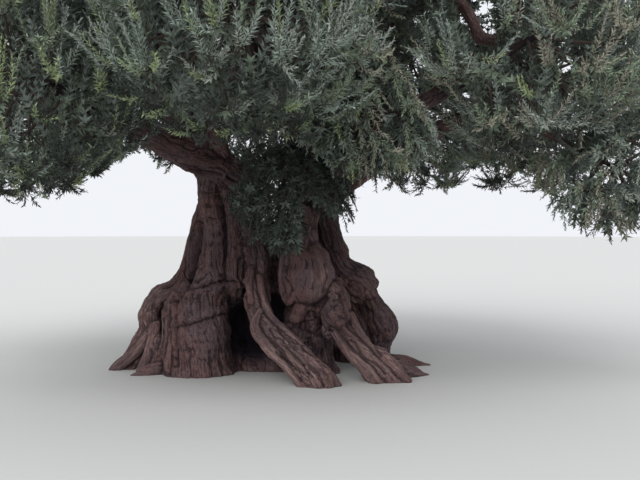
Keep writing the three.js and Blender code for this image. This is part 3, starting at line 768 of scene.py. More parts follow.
def leaf_tree():
    """Pairs of leaves along the edges of a mesh, each pair turned a quarter from the last."""
    kinds = {
        "Leaf pairs": "NodeSocketCollection", "Kinds of pair": "NodeSocketInt",
        "Spacing": "NodeSocketFloat", "Bare foot": "NodeSocketFloat", "Seed": "NodeSocketInt",
        "Material": "NodeSocketMaterial",
    }
    tree, graph, given = geometry_tree("Leaves along shoots", kinds)
    curve = graph.node("GeometryNodeMeshToCurve", inputs={"Mesh": given("Geometry")})
    inputs = {"Curve": curve, "Start": given("Bare foot")}
    curve = graph.node("GeometryNodeTrimCurve", inputs=inputs)
    share = graph.node("GeometryNodeSplineParameter", output="Factor")
    settings = {"data_type": "FLOAT", "domain": "POINT"}
    inputs = {"Geometry": curve, "Name": "share", "Value": share}
    curve = graph.node("GeometryNodeStoreNamedAttribute", settings, inputs)
    spread = graph.tree.nodes.new("GeometryNodeCurveToPoints")
    spread.mode = "LENGTH"
    graph.feed(spread.inputs["Curve"], curve)
    graph.feed(spread.inputs["Length"], given("Spacing"))
    points, tangent = (Field(graph, spread.outputs[name]) for name in ("Points", "Tangent"))
    index = graph.node("GeometryNodeInputIndex")

    def chance(low, high, offset):
        inputs = {2: low, 3: high, "ID": index, "Seed": given("Seed") + offset}
        return graph.node("FunctionNodeRandomValue", {"data_type": "FLOAT"}, inputs, output=1)

    def turned(rotation, axis, angle):
        inputs = {"Axis": axis, "Angle": angle}
        turn = graph.node("FunctionNodeAxisAngleToRotation", inputs=inputs)
        inputs = {"Rotation": rotation, "Rotate By": turn}
        return graph.node("FunctionNodeRotateRotation", {"rotation_space": "LOCAL"}, inputs)

    stance = graph.node("FunctionNodeAlignRotationToVector", {"axis": "Z"}, {"Vector": tangent})
    stance = turned(stance, (0, 0, 1), index * (math.pi / 2) + chance(-0.5, 0.5, 0))
    stance = turned(stance, (0, 1, 0), chance(-0.3, 0.3, 1))
    kind = stored_number(graph, "share") * given("Kinds of pair") + chance(-0.4, 0.4, 2)
    inputs = {"Collection": given("Leaf pairs"), "Separate Children": True, "Reset Children": True}
    pairs = graph.node("GeometryNodeCollectionInfo", {"transform_space": "ORIGINAL"}, inputs)
    inputs = {
        "Points": points, "Instance": pairs, "Pick Instance": True, "Rotation": stance,
        "Instance Index": graph.math("FLOOR", kind), "Scale": chance(0.78, 1.16, 3),
    }
    leaves = graph.node("GeometryNodeInstanceOnPoints", inputs=inputs)
    finish_tree(graph, leaves, given("Material"))
    return tree


def linked(name, mesh):
    """A new object with that mesh, in the scene."""
    made = bpy.data.objects.new(name, mesh)
    bpy.context.scene.collection.objects.link(made)
    return made


def settled(piece):
    """The piece with its modifiers turned into a plain mesh."""
    bpy.context.view_layer.update()
    seen = bpy.context.evaluated_depsgraph_get()
    mesh = bpy.data.meshes.new_from_object(piece.evaluated_get(seen), depsgraph=seen)
    old = piece.data
    piece.modifiers.clear()
    piece.data = mesh
    bpy.data.meshes.remove(old)
    mesh.name = piece.name
    return piece


def run_tree(piece, tree, values):
    """Runs a geometry tree on the piece with named input values, and settles it."""
    modifier = piece.modifiers.new(tree.name, "NODES")
    modifier.node_group = tree
    for item in tree.interface.items_tree:
        if item.in_out == "INPUT" and item.name in values:
            modifier[item.identifier] = values[item.name]
    return settled(piece)


def tubes(name, paths, values):
    """A piece of closed tubes along paths, each of which is its points and its radii."""
    return run_tree(linked(name, path_mesh(name, paths)), tube_tree(), values)


def path_mesh(name, paths):
    """Paths of points and radii as one mesh of edges with a girth attribute."""
    points, radii = (np.concatenate(values) for values in zip(*paths))
    last = np.cumsum([len(path) for path, _ in paths])
    starts = np.delete(np.arange(len(points) - 1), last[:-1] - 1)
    mesh = bpy.data.meshes.new(name)
    mesh.vertices.add(len(points))
    mesh.vertices.foreach_set("co", points.ravel().astype(np.float32))
    mesh.edges.add(len(starts))
    ends = np.column_stack([starts, starts + 1])
    mesh.edges.foreach_set("vertices", ends.ravel().astype(np.int32))
    store_values(mesh, "girth", radii)
    return mesh


def swept(name, limbs, sides):
    """Closed tubes along limbs."""
    return tubes(name, [(limb.points, limb.radii) for limb in limbs], {"Sides": sides})


def built(name, made):
    """A new object with what a bmesh holds."""
    mesh = bpy.data.meshes.new(name)
    made.to_mesh(mesh)
    made.free()
    return linked(name, mesh)


def joined(name, pieces):
    """Several pieces as one, with the pieces removed."""
    merged = bmesh.new()
    for piece in pieces:
        merged.from_mesh(piece.data)
        bpy.data.objects.remove(piece)
    return built(name, merged)


def modified(piece, kind, **settings):
    """The piece as one modifier with those settings leaves it."""
    modifier = piece.modifiers.new(kind.title(), kind)
    for name, value in settings.items():
        setattr(modifier, name, value)
    return settled(piece)


def fused(piece, voxel):
    """The piece remade as one closed skin."""
    return modified(piece, "REMESH", mode="VOXEL", voxel_size=voxel)


def cut(piece, tool):
    """The piece with another cut out of it, and the other removed."""
    modified(piece, "BOOLEAN", operation="DIFFERENCE", solver="MANIFOLD", object=tool)
    bpy.data.objects.remove(tool)
    return piece


def balls(places):
    """Round burls and knots."""
    made = bmesh.new()
    for centre, radius in places:
        ball = bmesh.ops.create_icosphere(made, subdivisions=4, radius=radius)
        bmesh.ops.translate(made, verts=ball["verts"], vec=centre)
    return built("balls", made)


def slab(name, bottom, top):
    """A wide block between two heights, for a flat cut."""
    made = bmesh.new()
    bmesh.ops.create_cube(made, size=1.0)
    bmesh.ops.scale(made, verts=made.verts, vec=(SLAB_WIDTH, SLAB_WIDTH, top - bottom))
    bmesh.ops.translate(made, verts=made.verts, vec=(0, 0, (top + bottom) / 2))
    return built(name, made)


def triangles_of(mesh):
    return sum(len(face.vertices) - 2 for face in mesh.polygons)


def thin_out(piece, limit):
    """The piece with no more triangles than the limit, and none of it under the ground."""
    share = (limit - THINNING_MARGIN) / triangles_of(piece.data)
    modified(piece, "DECIMATE", ratio=min(1.0, share))
    points = points_of(piece.data)
    points[:, 2] = np.maximum(points[:, 2], 0)
    move_points(piece.data, points)


def move_points(mesh, points):
    mesh.vertices.foreach_set("co", points.ravel().astype(np.float32))
    mesh.update()


def vectors_of(items, field):
    """A field of three numbers of each item, as rows."""
    values = np.empty(len(items) * 3, np.float32)
    items.foreach_get(field, values)
    return values.reshape(-1, 3).astype(float)


def points_of(mesh):
    return vectors_of(mesh.vertices, "co")


def normals_of(mesh):
    return vectors_of(mesh.vertex_normals, "vector")


def store_values(mesh, name, values):
    """Keeps numbers or vectors on the mesh's points."""
    kind, field = ("FLOAT", "value") if values.ndim == 1 else ("FLOAT_VECTOR", "vector")
    attribute = mesh.attributes.new(name, kind, "POINT")
    attribute.data.foreach_set(field, values.ravel().astype(np.float32))


def smooth_points(mesh, points, rounds):
    """Points moved half way to the mean of their neighbours, some rounds over."""
    ends = np.empty(len(mesh.edges) * 2, np.int32)
    mesh.edges.foreach_get("vertices", ends)
    first, second = ends.reshape(-1, 2).T
    count = np.bincount(ends, minlength=len(points))[:, None]
    for _ in range(rounds):
        total = np.empty_like(points)
        for axis in range(3):
            total[:, axis] = np.bincount(first, points[second, axis], len(points))
            total[:, axis] += np.bincount(second, points[first, axis], len(points))
        points = points * 0.5 + total / count * 0.5
    return points


class Bark:
    """Which limb each point of the wood belongs to, and where the point lies along it."""

    def __init__(self, points):
        limbs = [*LIMBS.values(), *CORD_LIMBS]

        def gathered(kind):
            return np.concatenate([getattr(limb, kind) for limb in limbs])

        middle, radii = gathered("points"), gathered("radii")
        nearest = np.empty(len(points), int)
        for part in batches(len(points), SKIN_BATCH):
            nearest[part] = np.argmin(distances(points[part], middle) - radii, axis=1)
        offset = points - middle[nearest]
        self.across, self.up, ahead = (np.sum(offset * gathered(kind)[nearest], 1)
                                       for kind in ("normals", "binormals", "tangents"))
        self.along = gathered("along")[nearest] + ahead
        self.radius = radii[nearest]
        self.limb = np.repeat(np.arange(len(limbs)), [len(limb.points) for limb in limbs])[nearest]
        coarse = [COARSENESS.get(limb.name, COMMON_COARSENESS) for limb in limbs]
        self.coarse = np.array(coarse)[self.limb]

    def grain(self, twist):
        """Places in the limb's own straightened frame, wound round it by the twist. Each limb's
        frame starts elsewhere, so that no two share a pattern."""
        turn = self.along * twist
        across = self.across * np.cos(turn) - self.up * np.sin(turn)
        up = self.across * np.sin(turn) + self.up * np.cos(turn)
        return np.column_stack([across, up, self.along + self.limb * 7.3])


def apart_from_line(places, line):
    """How far flat places are from a line through some corners, and how far above it they are."""
    line = np.array(line)
    nearest = np.full(len(places), np.inf)
    above = np.zeros(len(places))
    for start, end in zip(line[:-1], line[1:]):
        along = end - start
        share = np.clip((places - start) @ along / (along @ along), 0, 1)
        offset = places - start - share[:, None] * along
        apart = np.linalg.norm(offset, axis=1)
        closer = apart < nearest
        nearest[closer] = apart[closer]
        above[closer] = offset[closer, 1]
    return nearest, above


def relief_of(points, bark, wood):
    """Height of the bark's relief over the plain limbs, in metres: cords that run along the
    limbs with narrow grooves between them, lumps, grooves across, spiral knots and pits."""
    first, second, third = Noise(11), Noise(12), Noise(13)
    warp = np.column_stack([noise(points * 2.2 + 5.1) for noise in (first, second, third)])
    fine_warp = np.column_stack([noise(points * 7.3 + 1.7) for noise in (second, third, first)])
    warp += 0.35 * fine_warp
    grain = bark.grain(wood.grain_twist) + warp * (0.06, 0.06, 0.22)
    cords = np.abs(first(grain / CORD_SIZE)) ** RIDGE_ROUNDNESS
    strands = np.abs(second(grain / STRAND_SIZE))
    threads = np.abs(third(grain / THREAD_SIZE)) ** RIDGE_ROUNDNESS
    plates = np.minimum(1, np.abs(second(grain / PLATE_SIZE + 3.3)) * 4)
    lumps = second(points / LUMP_SIZE)
    knobs = third(points / KNOB_SIZE)
    thin = np.minimum(1, bark.radius / THIN_LIMB)
    calm = np.zeros(len(points))
    for centre, spread in CALM:
        calm = np.maximum(calm, np.clip(1.3 - away_from(points, centre, spread), 0, 1))
    rings = np.sin((points[:, 2] + 0.02 * lumps + 0.012 * knobs) * 62.0)
    height = calm * thin * (0.0035 * rings + 0.006 * strands)
    height += wood.relief_depth * thin * bark.coarse * (1 - 0.75 * calm) * (
        1.35 * cords + 0.80 * strands**RIDGE_ROUNDNESS + 0.50 * threads + 0.14 * plates - 1.25)
    height += thin * (0.026 * lumps + 0.012 * knobs)
    front = np.clip((-0.05 - points[:, 1]) / 0.1, 0, 1)
    wobble = 0.018 * first(points * 5.1)[:, None] + 0.010 * second(points * 14.0)[:, None]
    places = points[:, [0, 2]] + wobble
    for width, depth, lip, line in GROOVES:
        apart, above = apart_from_line(places, line)
        height -= front * depth * np.exp(-((apart / width) ** 2))
        swelling = front * lip * np.exp(-((apart / (width * 3.5)) ** 2))
        height += swelling * np.where(above < 0, 1, -0.4)
    for centre, radius in PITS:
        height -= PIT_DEPTH * np.exp(-((away_from(points, centre) / radius) ** 2))
    for centre, radius in SPIRAL_KNOTS:
        offset = points - centre
        apart = away_from(points, centre)
        turn = np.arctan2(offset[:, 2], offset[:, 0])
        rings = np.sin(apart / radius * 12 + turn)
        height += SPIRAL_DEPTH * rings * np.clip(1.25 - apart / radius, 0, 1)
    return height


def painted_shade_of(points):
    """How much shade is painted on the wood at each point, from 0 to 1: most in the hollows and
    inside the crown, some in set-back places."""
    damp = np.zeros(len(points))
    # Painted shade deep in the hollows, fading out towards the front
    for name, stations in HOLLOWS.items():
        hollow = Limb(name, stations)
        for middle, radius in zip(hollow.points, hollow.radii):
            away = away_from(points, middle) / radius
            damp = np.maximum(damp, np.clip((1.25 - away) / 0.25, 0, 1))
    damp *= np.clip((points[:, 1] + 0.52) / 0.27, 0, 1)
    for centre, spread, amount in SHADE_PAINTED_PLACES:
        away = away_from(points, centre, spread)
        damp = np.maximum(damp, amount * np.clip((1.25 - away) / 0.5, 0, 1))
    # Painted shade on the boughs inside the crown
    in_crown = np.clip((crown_depth(points) - 0.15) / 0.35, 0, 1) * (1 - wear_and_light_of(points))
    return np.maximum(damp, CROWN_PAINTED_SHADE * in_crown)


def wear_and_light_of(points):
    """How pale the wood is at each point, from 0 to 1: partly weathered wood, partly painted light
    where it faces the light or stands out of the crown's shade.
    """
    worn = np.zeros(len(points))
    for centre, spread in WEAR_AND_LIGHT:
        worn = np.maximum(worn, np.clip(1.25 - away_from(points, centre, spread), 0, 1))
    return worn


def cavity_of(mesh, points):
    """How hollow the surface is round each point, from -1 on a ridge to 1 in a groove."""
    normals = normals_of(mesh)
    cavity = np.zeros(len(points))
    for rounds, depth in ((3, 0.0022), (14, 0.0075)):
        sunk = np.einsum("ij,ij->i", smooth_points(mesh, points, rounds) - points, normals)
        cavity += 0.5 * np.clip(sunk / depth, -1, 1)
    return cavity


def length_field(name, description, default):
    return FloatProperty(name=name, description=description, default=default, unit="LENGTH")


def colour_field(name, description, default):
    return FloatVectorProperty(name=name, description=description, default=default, subtype="COLOR")


class WoodSettings(PropertyGroup):
    """Sizes and colours of the trunk and boughs"""

    voxel: length_field("Voxel size", "Fineness of the fused skin", 0.0125)
    split_height: length_field("Split height", "Height where the wood is parted in two pieces",
                               2.62)
    bough_triangles: IntProperty(name="Bough triangles",
                                 description="Most triangles above the split", default=110000)
    relief_depth: length_field("Relief depth", "Depth of the bark's cords", 0.038)
    grain_twist: FloatProperty(name="Grain twist", unit="ROTATION", default=0.5,
                               description="How far the grain winds in a metre")
    bark_red: colour_field("Reddish bark", "Colour of the reddish patches", (0.152, 0.083, 0.079))
    bark_grey: colour_field("Grey bark", "Colour of the grey patches", (0.138, 0.092, 0.1))
    bark_dark: colour_field("Groove colour", "Colour deep in the grooves", (0.036, 0.022, 0.025))
    bark_tan: colour_field("Brown bark", "Colour of the brown blotches", (0.158, 0.094, 0.070))
    # Also the colour of the painted light on ridges and lit places
    bark_pale: colour_field("Worn wood", "Colour of the weathered ridges", (0.310, 0.204, 0.184))
    lichen: colour_field("Lichen", "Colour of the lichen", (0.150, 0.115, 0.060))
    # The colour of the painted shade in the hollows, on the boughs inside the crown and in set-back
    # places
    hollow: colour_field("Hollow", "Colour inside the hollows", (0.016, 0.011, 0.017))


class FoliageSettings(PropertyGroup):
    """Sizes and colours of the branches, twigs and leaves"""

    leaf_length: length_field("Leaf length", "Length of a leaf", 0.053)
    leaf_width: length_field("Leaf width", "Width of a leaf", 0.0152)
    spacing: length_field("Pair spacing", "Distance between pairs of leaves on a shoot", 0.0166)
    shade_length: length_field("Inner leaf length", "Length of a leaf inside the crown", 0.086)
    shade_width: length_field("Inner leaf width", "Width of a leaf inside the crown", 0.029)
    shade_spacing: length_field("Whorl spacing", "Distance between whorls of inner leaves", 0.047)
    shell: length_field("Shell depth", "Depth of the crown's outer shell of fine leaves", 0.36)
    shoots: IntProperty(name="Shoots", description="Shoots in a mass of common size", default=1210)
    seed: IntProperty(name="Seed", description="Seed of the branching", default=41)
    # The first four leaf colours are painted shade: for the crown's inside, and for sprays under
    # the crown, on its underside and in the dim masses
    leaf_shade: colour_field("Shaded leaves", "Colour of the darkest inner sprays",
                             (0.104, 0.129, 0.106))
    leaf_shade_grey: colour_field("Dull leaves", "Colour of the greyer inner sprays",
                                  (0.186, 0.222, 0.192))
    leaf_shade_olive: colour_field("Shaded olive leaves", "Colour of the greener inner sprays",
                                   (0.158, 0.198, 0.142))
    leaf_dull: colour_field("Low leaves", "Colour of sprays under the crown", (0.048, 0.058, 0.049))
    leaf_grey: colour_field("Grey leaves", "Colour of most sprays", (0.264, 0.316, 0.272))
    leaf_olive: colour_field("Olive leaves", "Colour of the greener sprays", (0.242, 0.302, 0.204))
    leaf_silver: colour_field("Silver leaves", "Colour of silvery sprays", (0.290, 0.326, 0.276))
    leaf_fresh: colour_field("Fresh leaves", "Colour of the youngest sprays", (0.262, 0.322, 0.168))
    leaf_tan: colour_field("Tan leaves", "Colour of the driest sprays", (0.300, 0.290, 0.225))
    twig: colour_field("Twig bark", "Colour of the twigs", (0.085, 0.065, 0.058))


class StageSettings(PropertyGroup):
    """Floor and lights"""

    floor: colour_field("Floor", "Colour of the floor", (0.58, 0.58, 0.56))
    sky: FloatProperty(name="Ambient light",
                       description="Strength of the light from all round", default=0.95)
    key: FloatProperty(name="Key light",
                       description="Strength of the soft light from above", default=2.0)


def between(start, bend, end, share):
    """Points at a share of the way along quadratic curves."""
    return start * (1 - share) ** 2 + bend * 2 * share * (1 - share) + end * share**2


def even_directions(count, phase):
    """Directions spread evenly by the golden angle."""
    index = np.arange(count)
    height = 1 - 2 * (index + 0.5) / count
    turn = index * math.pi * (3 - math.sqrt(5)) + phase
    level = np.sqrt(1 - height**2)
    return np.column_stack([level * np.cos(turn), level * np.sin(turn), height])


def nearest_parents(ends, parents, centre):
    """For each end, the parent point that it grows from: near it, and no further out."""
    chosen = np.empty(len(ends), int)
    outward = unit(ends - centre)
    for part in batches(len(ends), PARENT_BATCH):
        offset = ends[part][:, None] - parents[None]
        apart = np.linalg.norm(offset, axis=2)
        ahead = np.einsum("ijk,ik->ij", offset, outward[part])
        chosen[part] = np.argmin(apart + 3.0 * np.maximum(0, 0.3 * apart - ahead), axis=1)
    return chosen


def clear_of_wood(points, room):
    """Which points keep that much room from the trunk and boughs."""
    clear = np.ones(len(points), bool)
    for part in batches(len(points), SHOOT_BATCH):
        clear[part] = np.all(distances(points[part], WOOD_POINTS) > WOOD_RADII + room, axis=1)
    return clear


def crown_depth(points):
    """How far inside the whole crown points are: 0 at its outside, in metres."""
    depth = np.full(len(points), -1.0)
    for space in SPACES.values():
        inside = space.radius - np.linalg.norm(space.flattened(points), axis=1)
        depth = np.maximum(depth, inside)
    return depth


def in_windows(points):
    """Which points stand in a gap of the crown through which the viewer sees."""
    inside = np.zeros(len(points), bool)
    for target, radius, goes_on in WINDOWS:
        line = np.array(target) - CAMERA_PLACE
        length = np.linalg.norm(line)
        share = (points - CAMERA_PLACE) @ line / length**2
        apart = np.linalg.norm(points - CAMERA_PLACE - share[:, None] * line, axis=1)
        reaches = share > 0 if goes_on else (share > 0) & (share < 1)
        inside |= reaches & (apart < radius * share)
    return inside


class Growth:
    """The branches, twigs and shoots of one mass, by the rule of the solids carried further."""

    def __init__(self, name, foliage):
        self.name = name
        self.space = SPACES[name]
        self.random = np.random.default_rng(foliage.seed + 31 * list(MASSES).index(name))
        hangs = name in DROOPING
        self.lift = LIFT[hangs]
        self.scale = self.space.radius / COMMON_RADIUS
        shoots = int(foliage.shoots * self.scale**2 * FULLNESS.get(name, 1.0))
        stem = LIMBS[f"bough_{name}"].points
        branches = max(FEWEST_BRANCHES, shoots // SHOOTS_TO_BRANCH)
        self.branches = self.level("branches", branches, stem[-int(len(stem) * 0.3) :])
        parents = self.branches[0][:, 2:].reshape(-1, 3)
        self.twigs = self.level("twigs", max(FEWEST_TWIGS, shoots // SHOOTS_TO_TWIG), parents)
        parents = np.concatenate([parents, self.twigs[0][:, 1:].reshape(-1, 3)])
        self.shoots = self.level("shoots", shoots, parents, RISE[hangs])

    def level(self, kind, count, parents, rise=0.0):
        """One level of limbs: curves from parent points to ends spread evenly in the space. The
        more the rise, the more upright they stand."""
        shares, samples, girths, bow = LEVELS[kind]
        random, centre = self.random, self.space.centre
        headings = even_directions(count, random.uniform(0, 6.28))
        headings = unit(headings + random.normal(0, 0.12, (count, 3)))
        reach = self.space.reach(np.broadcast_to(centre, headings.shape), headings)
        share = shares[0] + (shares[1] - shares[0]) * np.sqrt(random.uniform(0, 1, count))
        tufts = Noise(31)((centre + headings * reach[:, None]) / TUFT_SIZE)
        depth = DIM_TUFT_DEPTH if self.name in DIM else TUFT_DEPTH
        share *= 1 - depth * np.clip(tufts + 0.15, 0, 1)
        ends = centre + headings * (reach * share)[:, None]
        starts = parents[nearest_parents(ends - (0, 0, rise), parents, centre)]
        spans = np.linalg.norm(ends - starts, axis=1, keepdims=True)
        bends = (starts + ends) / 2 + random.normal(0, 0.08, ends.shape) * spans
        bends[:, 2] -= spans[:, 0] * bow * self.lift * 2
        keep = (spans[:, 0] > 0.05) & self.space.holds(bends) & self.space.holds(ends)
        wanted = 0.20 + 1.1 * (reach / self.space.radius) ** 2
        if kind == "shoots":
            wanted *= np.where(crown_depth(ends) > DARK_DEPTH, DARK_SHARE, 1.0)
        keep &= random.uniform(0, 1, count) < wanted
        for places in (ends, bends):
            keep &= clear_of_wood(places, WOOD_ROOM)
        for part in (0.25, 0.5, 0.75, 1.0):
            keep &= ~in_windows(between(starts, bends, ends, part))
        shares_along = np.linspace(0, 1, samples)[None, :, None]
        paths = between(*(ways[keep][:, None, :] for ways in (starts, bends, ends)), shares_along)
        radii = np.broadcast_to(np.linspace(*girths, samples), paths.shape[:2])
        return paths, radii, share[keep], headings[keep]


# The tints of sprays, first the darker ones of painted shade for the crown's inside; the low tint
# is painted shade too
TINTS = ("shade", "shade_grey", "shade_olive", "dull", "grey", "olive", "silver", "fresh", "tan")
SHADE_TINTS = 3
# How wide the crown's patches of one tint are, and its single sprays
PATCH_SIZE = 0.9
SPRAY_SIZE = 0.25


def shoot_tints(growth, foliage):
    """Which tint each shoot of a mass takes, from where it stands."""
    paths, _, share, headings = growth.shoots
    tips = paths[:, -1]
    east, _, height = tips.T
    patch = Noise(21)(tips / PATCH_SIZE)
    fine = Noise(22)(tips / SPRAY_SIZE) + growth.random.normal(0, 0.25, len(tips))
    is_dim = np.full(len(tips), growth.name in DIM)
    dry = (east > 0.9) & (patch > -0.05) & (fine > -0.02)
    side = np.where(east < -1.3, 0.14, np.where(east < 0, 0.22, 0.32))
    fresh = (share > 0.80) & (0.5 * patch + 0.8 * fine > side)
    # Sprays low over the trunk and those hanging under the crown take the low tint of painted shade
    low = (height < 2.70) & (np.abs(east + 0.62) < 0.95) & (fine < 0.30)
    low |= (headings[:, 2] < -0.80) & (fine < 0.20)
    inner = crown_depth(tips) > foliage.shell * growth.scale
    # More sprays on the right are silver: partly their own tint, partly painted light on that side
    silver = fine > np.where(east > 0.5, 0.02, 0.30)
    rules = (
        (inner & is_dim & ((fine <= -0.1) | (east > 0.30)), "shade"),
        (inner & is_dim, "dull"),
        (inner & (fine > 0.02), "shade_grey"),
        (inner & (fine > -0.07), "shade_olive"),
        (inner, "shade"),
        (low | is_dim, "dull"),
        (fresh & ~dry, "fresh"),
        (dry, "tan"),
        (silver, "silver"),
        (patch + 0.5 * fine > -0.07, "olive"),
    )
    numbers = [TINTS.index(tint) for _, tint in rules]
    return np.select([where for where, _ in rules], numbers, TINTS.index("grey"))


def leaf_points(length, width, lean, turn):
    """Corners of one lance-shaped leaf, folded along its rib, that leans from the shoot."""
    cos, sin = math.cos(turn), math.sin(turn)
    points = []
    rows = ((0.0, 0.0, 0.0), (0.42 * length, 0.5 * width, 0.18 * width),
            (length, 0.0, -0.06 * length), (0.42 * length, -0.5 * width, 0.18 * width))
    for along, across, lift in rows:
        out = along * math.sin(lean) - lift * math.cos(lean)
        up = along * math.cos(lean) + lift * math.sin(lean)
        points.append((out * cos - across * sin, out * sin + across * cos, up))
    return points


# Each whorl's lean from the shoot in degrees, and its size, from the shoot's foot to its tip
WHORLS = ((50, 0.88), (45, 1.05), (38, 1.0), (30, 0.88), (18, 0.66))
LEAF_FACES = ((0, 1, 2), (0, 2, 3))


def leaf_sprays(name, length, width, around):
    """A collection of whorls of leaves, the last of them upright and small for a shoot's tip."""
    whorls = bpy.data.collections.new(name)
    bpy.context.scene.collection.children.link(whorls)
    for i, (lean, size) in enumerate(WHORLS):
        points, faces = [], []
        for j in range(around):
            # Every second leaf stands a little turned and leans out more
            turn = 2 * math.pi * j / around + 0.3 * (j % 2)
            lean_here = math.radians(lean + 9 * (j % 2))
            faces += [[corner + len(points) for corner in face] for face in LEAF_FACES]
            points += leaf_points(length * size, width * math.sqrt(size), lean_here, turn)
        mesh = bpy.data.meshes.new(f"{name}_{i}")
        mesh.from_pydata(points, [], faces)
        whorls.objects.link(bpy.data.objects.new(mesh.name, mesh))
    return whorls


def discard(collection):
    """Removes a collection and what is in it."""
    for piece in list(collection.objects):
        bpy.data.objects.remove(piece)
    bpy.data.collections.remove(collection)


def fit_out(piece, nodes):
    """Ties a finished piece to the frame: it rides on the body and stands for the nodes, which are
    hidden."""
    triangles = triangles_of(piece.data)
    if triangles > PIECE_LIMIT:
        raise RuntimeError(f"{piece.name} has {triangles} triangles")
    print(piece.name, triangles, "triangles")
    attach(piece, "root")
    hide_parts(*nodes)


def nodes_named(*starts):
    return sorted(name for name in frame["nodes"] if name.startswith(starts))


class OLIVE_OT_wood(Operator):
    """Fuse the trunk and boughs into one body of wood with the bark's relief"""

    bl_idname = "olive.wood"
    bl_label = "Grow the wood"

    def execute(self, context):
        wood = context.scene.olive_wood
        body = self.fuse(wood.voxel * (1))
        points = smooth_points(body.data, points_of(body.data), 3)
        move_points(body.data, points)
        height = relief_of(points, Bark(points), wood)
        move_points(body.data, points + normals_of(body.data) * height[:, None])
        cut(body, slab("under_ground", -FAR_DOWN, 0.0))
        crown = body.copy()
        crown.data = body.data.copy()
        crown.name = "wood_boughs"
        context.scene.collection.objects.link(crown)
        cut(body, slab("upper_part", wood.split_height, FAR_UP))
        cut(crown, slab("lower_part", -FAR_DOWN, wood.split_height))
        material = bark_material("olive_bark", wood)
        for piece, limit, slot, nodes in (
            (body, PIECE_LIMIT, "bark", nodes_named("trunk", "bough_")),
            (crown, wood.bough_triangles, "limb_bark", nodes_named("bough_")),
        ):
            thin_out(piece, limit)
            self.paint(piece, wood, material)
            fit_out(piece, nodes)
        twig = Limb("dead_twig", DEAD_TWIG)
        dead = twig_material("olive_dead_twig", wood.bark_pale)
        piece = tubes("dead_twig", [(twig.points, twig.radii)], {"Sides": 8, "Material": dead})
        fit_out(piece, ["bough_stub"])
        return {"FINISHED"}

    def fuse(self, voxel):
        """Every limb fused into one closed skin, with the hollows cut into the heart."""
        heart = fused(swept("heart", [LIMBS[name] for name in HEART_RIBS], 40), voxel * 2)
        hollows = [Limb(name, stations) for name, stations in HOLLOWS.items()]
        heart = cut(heart, fused(swept("hollows", hollows, 40), voxel * 2))
        outer = [limb for name, limb in LIMBS.items() if name not in HEART_RIBS]
        outer = swept("outer", outer + CORD_LIMBS, 36)
        return fused(joined("wood_trunk", [heart, outer, balls(BURLS + KNOTS)]), voxel)

    def paint(self, piece, wood, material):
        """Stores what the bark's material reads, and sets the material."""
        mesh = piece.data
        points = points_of(mesh)
        bark = Bark(points)
        for name, values in (
            ("grain", bark.grain(wood.grain_twist)), ("cavity", cavity_of(mesh, points)),
            ("damp", painted_shade_of(points)), ("worn", wear_and_light_of(points)),
            ("smoothness", 1 - np.clip(bark.coarse, 0, 1)),
        ):
            store_values(mesh, name, values)
        mesh.materials.clear()
        mesh.materials.append(material)
        mesh.polygons.foreach_set("use_smooth", self.is_side(mesh, wood.split_height))
        mesh.update()

    def is_side(self, mesh, split_height):
        """Which faces aren't on the flat cuts."""
        heights = points_of(mesh)[:, 2]
        at_cuts = [np.abs(heights - level) < 1e-4 for level in (split_height, 0)]
        corners = (list(face.vertices) for face in mesh.polygons)
        return [not any(at_cut[face].all() for at_cut in at_cuts) for face in corners]


class OLIVE_OT_foliage(Operator):
    """Grow branches, twigs and leaves in each mass's own space"""

    bl_idname = "olive.foliage"
    bl_label = "Grow the foliage"

    def execute(self, context):
        foliage = context.scene.olive_foliage
        masses = nodes_named("foliage_")
        growths = [Growth(name, foliage) for name in MASSES]
        tints = [shoot_tints(growth, foliage) for growth in growths]
        bark = twig_material("olive_twig", foliage.twig)
        inner = np.concatenate([dealt < SHADE_TINTS for dealt in tints])
        limbs = {kind: [pair for growth in growths for pair in zip(*getattr(growth, kind)[:2])]
                 for kind in ("branches", "twigs", "shoots")}
        limbs["inner_shoots"] = [(path[::2], girth[::2])
                                 for (path, girth), deep in zip(limbs["shoots"], inner) if deep]
        limbs["shoots"] = [limb for limb, deep in zip(limbs["shoots"], inner) if not deep]
        for name, paths in limbs.items():
            sides = 6 if name == "branches" else 3
            piece = tubes(name, paths, {"Sides": sides, "Material": bark})
            fit_out(piece, masses)
        fine = leaf_sprays("leaf_pairs", foliage.leaf_length, foliage.leaf_width, 2)
        broad = leaf_sprays("leaf_whorls", foliage.shade_length, foliage.shade_width, 5)
        tree = leaf_tree()
        for number, tint in enumerate(TINTS):
            is_shade = number < SHADE_TINTS
            paths = [(growth.shoots[0][i], growth.shoots[1][i])
                     for growth, dealt in zip(growths, tints)
                     for i in np.flatnonzero(dealt == number)]
            if tint in ("shade", "shade_olive"):
                paths += [pair for growth in growths if (growth.name in DIM) == (tint == "shade")
                          for pair in zip(*growth.twigs[:2])]
            name = f"leaves_{tint}"
            material = leaf_material(name, getattr(foliage, f"leaf_{tint}"))
            piece = run_tree(linked(name, path_mesh(name, paths)), tree, {
                "Leaf pairs": broad if is_shade else fine, "Kinds of pair": len(WHORLS),
                "Spacing": foliage.shade_spacing if is_shade else foliage.spacing,
                "Bare foot": 0.35 if is_shade else 0.10, "Seed": foliage.seed + number,
                "Material": material,
            })
            fit_out(piece, masses)
        discard(fine)
        discard(broad)
        return {"FINISHED"}


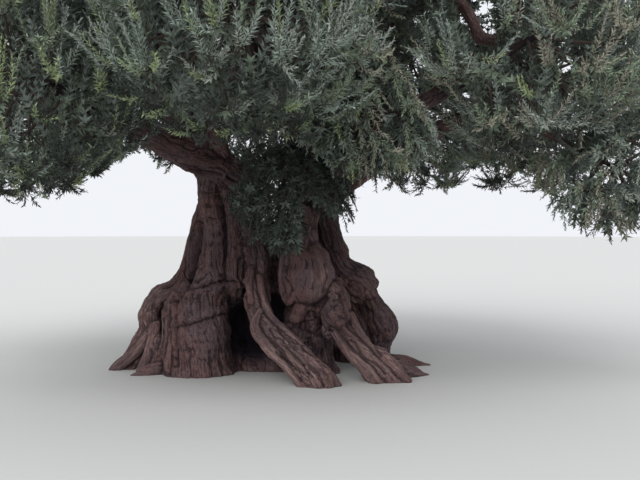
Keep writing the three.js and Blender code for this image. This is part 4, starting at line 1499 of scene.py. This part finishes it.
class OLIVE_OT_stage(Operator):
    """Set the pale floor, the soft light and the camera"""

    bl_idname = "olive.stage"
    bl_label = "Set the stage"

    def execute(self, context):
        stage = context.scene.olive_stage
        scene = context.scene
        scene.view_settings.view_transform = "Standard"
        disc = bmesh.new()
        bmesh.ops.create_circle(disc, cap_ends=True, segments=96, radius=FLOOR_RADIUS)
        floor = built("floor", disc)
        floor.data.materials.append(plain_material("pale_floor", stage.floor, 0.95, 0.5))
        world = bpy.data.worlds.new("soft_room")
        scene.world = world
        world.use_nodes = True
        backdrop = world.node_tree.nodes["Background"]
        backdrop.inputs["Color"].default_value = rgba(SKY_COLOUR)
        backdrop.inputs["Strength"].default_value = stage.sky
        lamp = bpy.data.lights.new("key", "SUN")
        lamp.energy = stage.key
        lamp.angle = math.radians(KEY_SOFTNESS_DEG)
        linked("key", lamp).rotation_euler = [math.radians(turn) for turn in KEY_TURN_DEG]
        camera = bpy.data.cameras.new("camera")
        camera.sensor_width = CAMERA_SENSOR_MM
        camera.lens = CAMERA_LENS_MM
        camera.clip_end = CAMERA_REACH
        holder = linked("camera", camera)
        holder.location = CAMERA_PLACE
        holder.rotation_euler = (math.radians(90 + CAMERA_PITCH_DEG), 0, 0)
        scene.camera = holder
        return {"FINISHED"}


class OLIVE_PT_panel(Panel):
    """Settings and steps of the olive tree"""

    bl_idname = "OLIVE_PT_panel"
    bl_label = "Old olive tree"
    bl_space_type = "VIEW_3D"
    bl_region_type = "UI"
    bl_category = "Olive"

    def draw(self, context):
        for name, operator in STEPS:
            box = self.layout.box()
            settings = getattr(context.scene, name)
            for field in settings.bl_rna.properties:
                if field.identifier not in ("rna_type", "name"):
                    box.prop(settings, field.identifier)
            box.operator(operator)


SETTINGS = {
    "olive_stage": StageSettings, "olive_wood": WoodSettings, "olive_foliage": FoliageSettings,
}
STEPS = [(name, name.replace("_", ".")) for name in SETTINGS]
CLASSES = (*SETTINGS.values(), OLIVE_OT_stage, OLIVE_OT_wood, OLIVE_OT_foliage, OLIVE_PT_panel)


def register():
    for kind in CLASSES:
        bpy.utils.register_class(kind)
    for name, kind in SETTINGS.items():
        setattr(bpy.types.Scene, name, PointerProperty(type=kind))


def unregister():
    for name in SETTINGS:
        delattr(bpy.types.Scene, name)
    for kind in reversed(CLASSES):
        bpy.utils.unregister_class(kind)


def main():
    register()
    bpy.ops.olive.stage()
    bpy.ops.olive.wood()
    bpy.ops.olive.foliage()


if __name__ == "__main__":
    main()
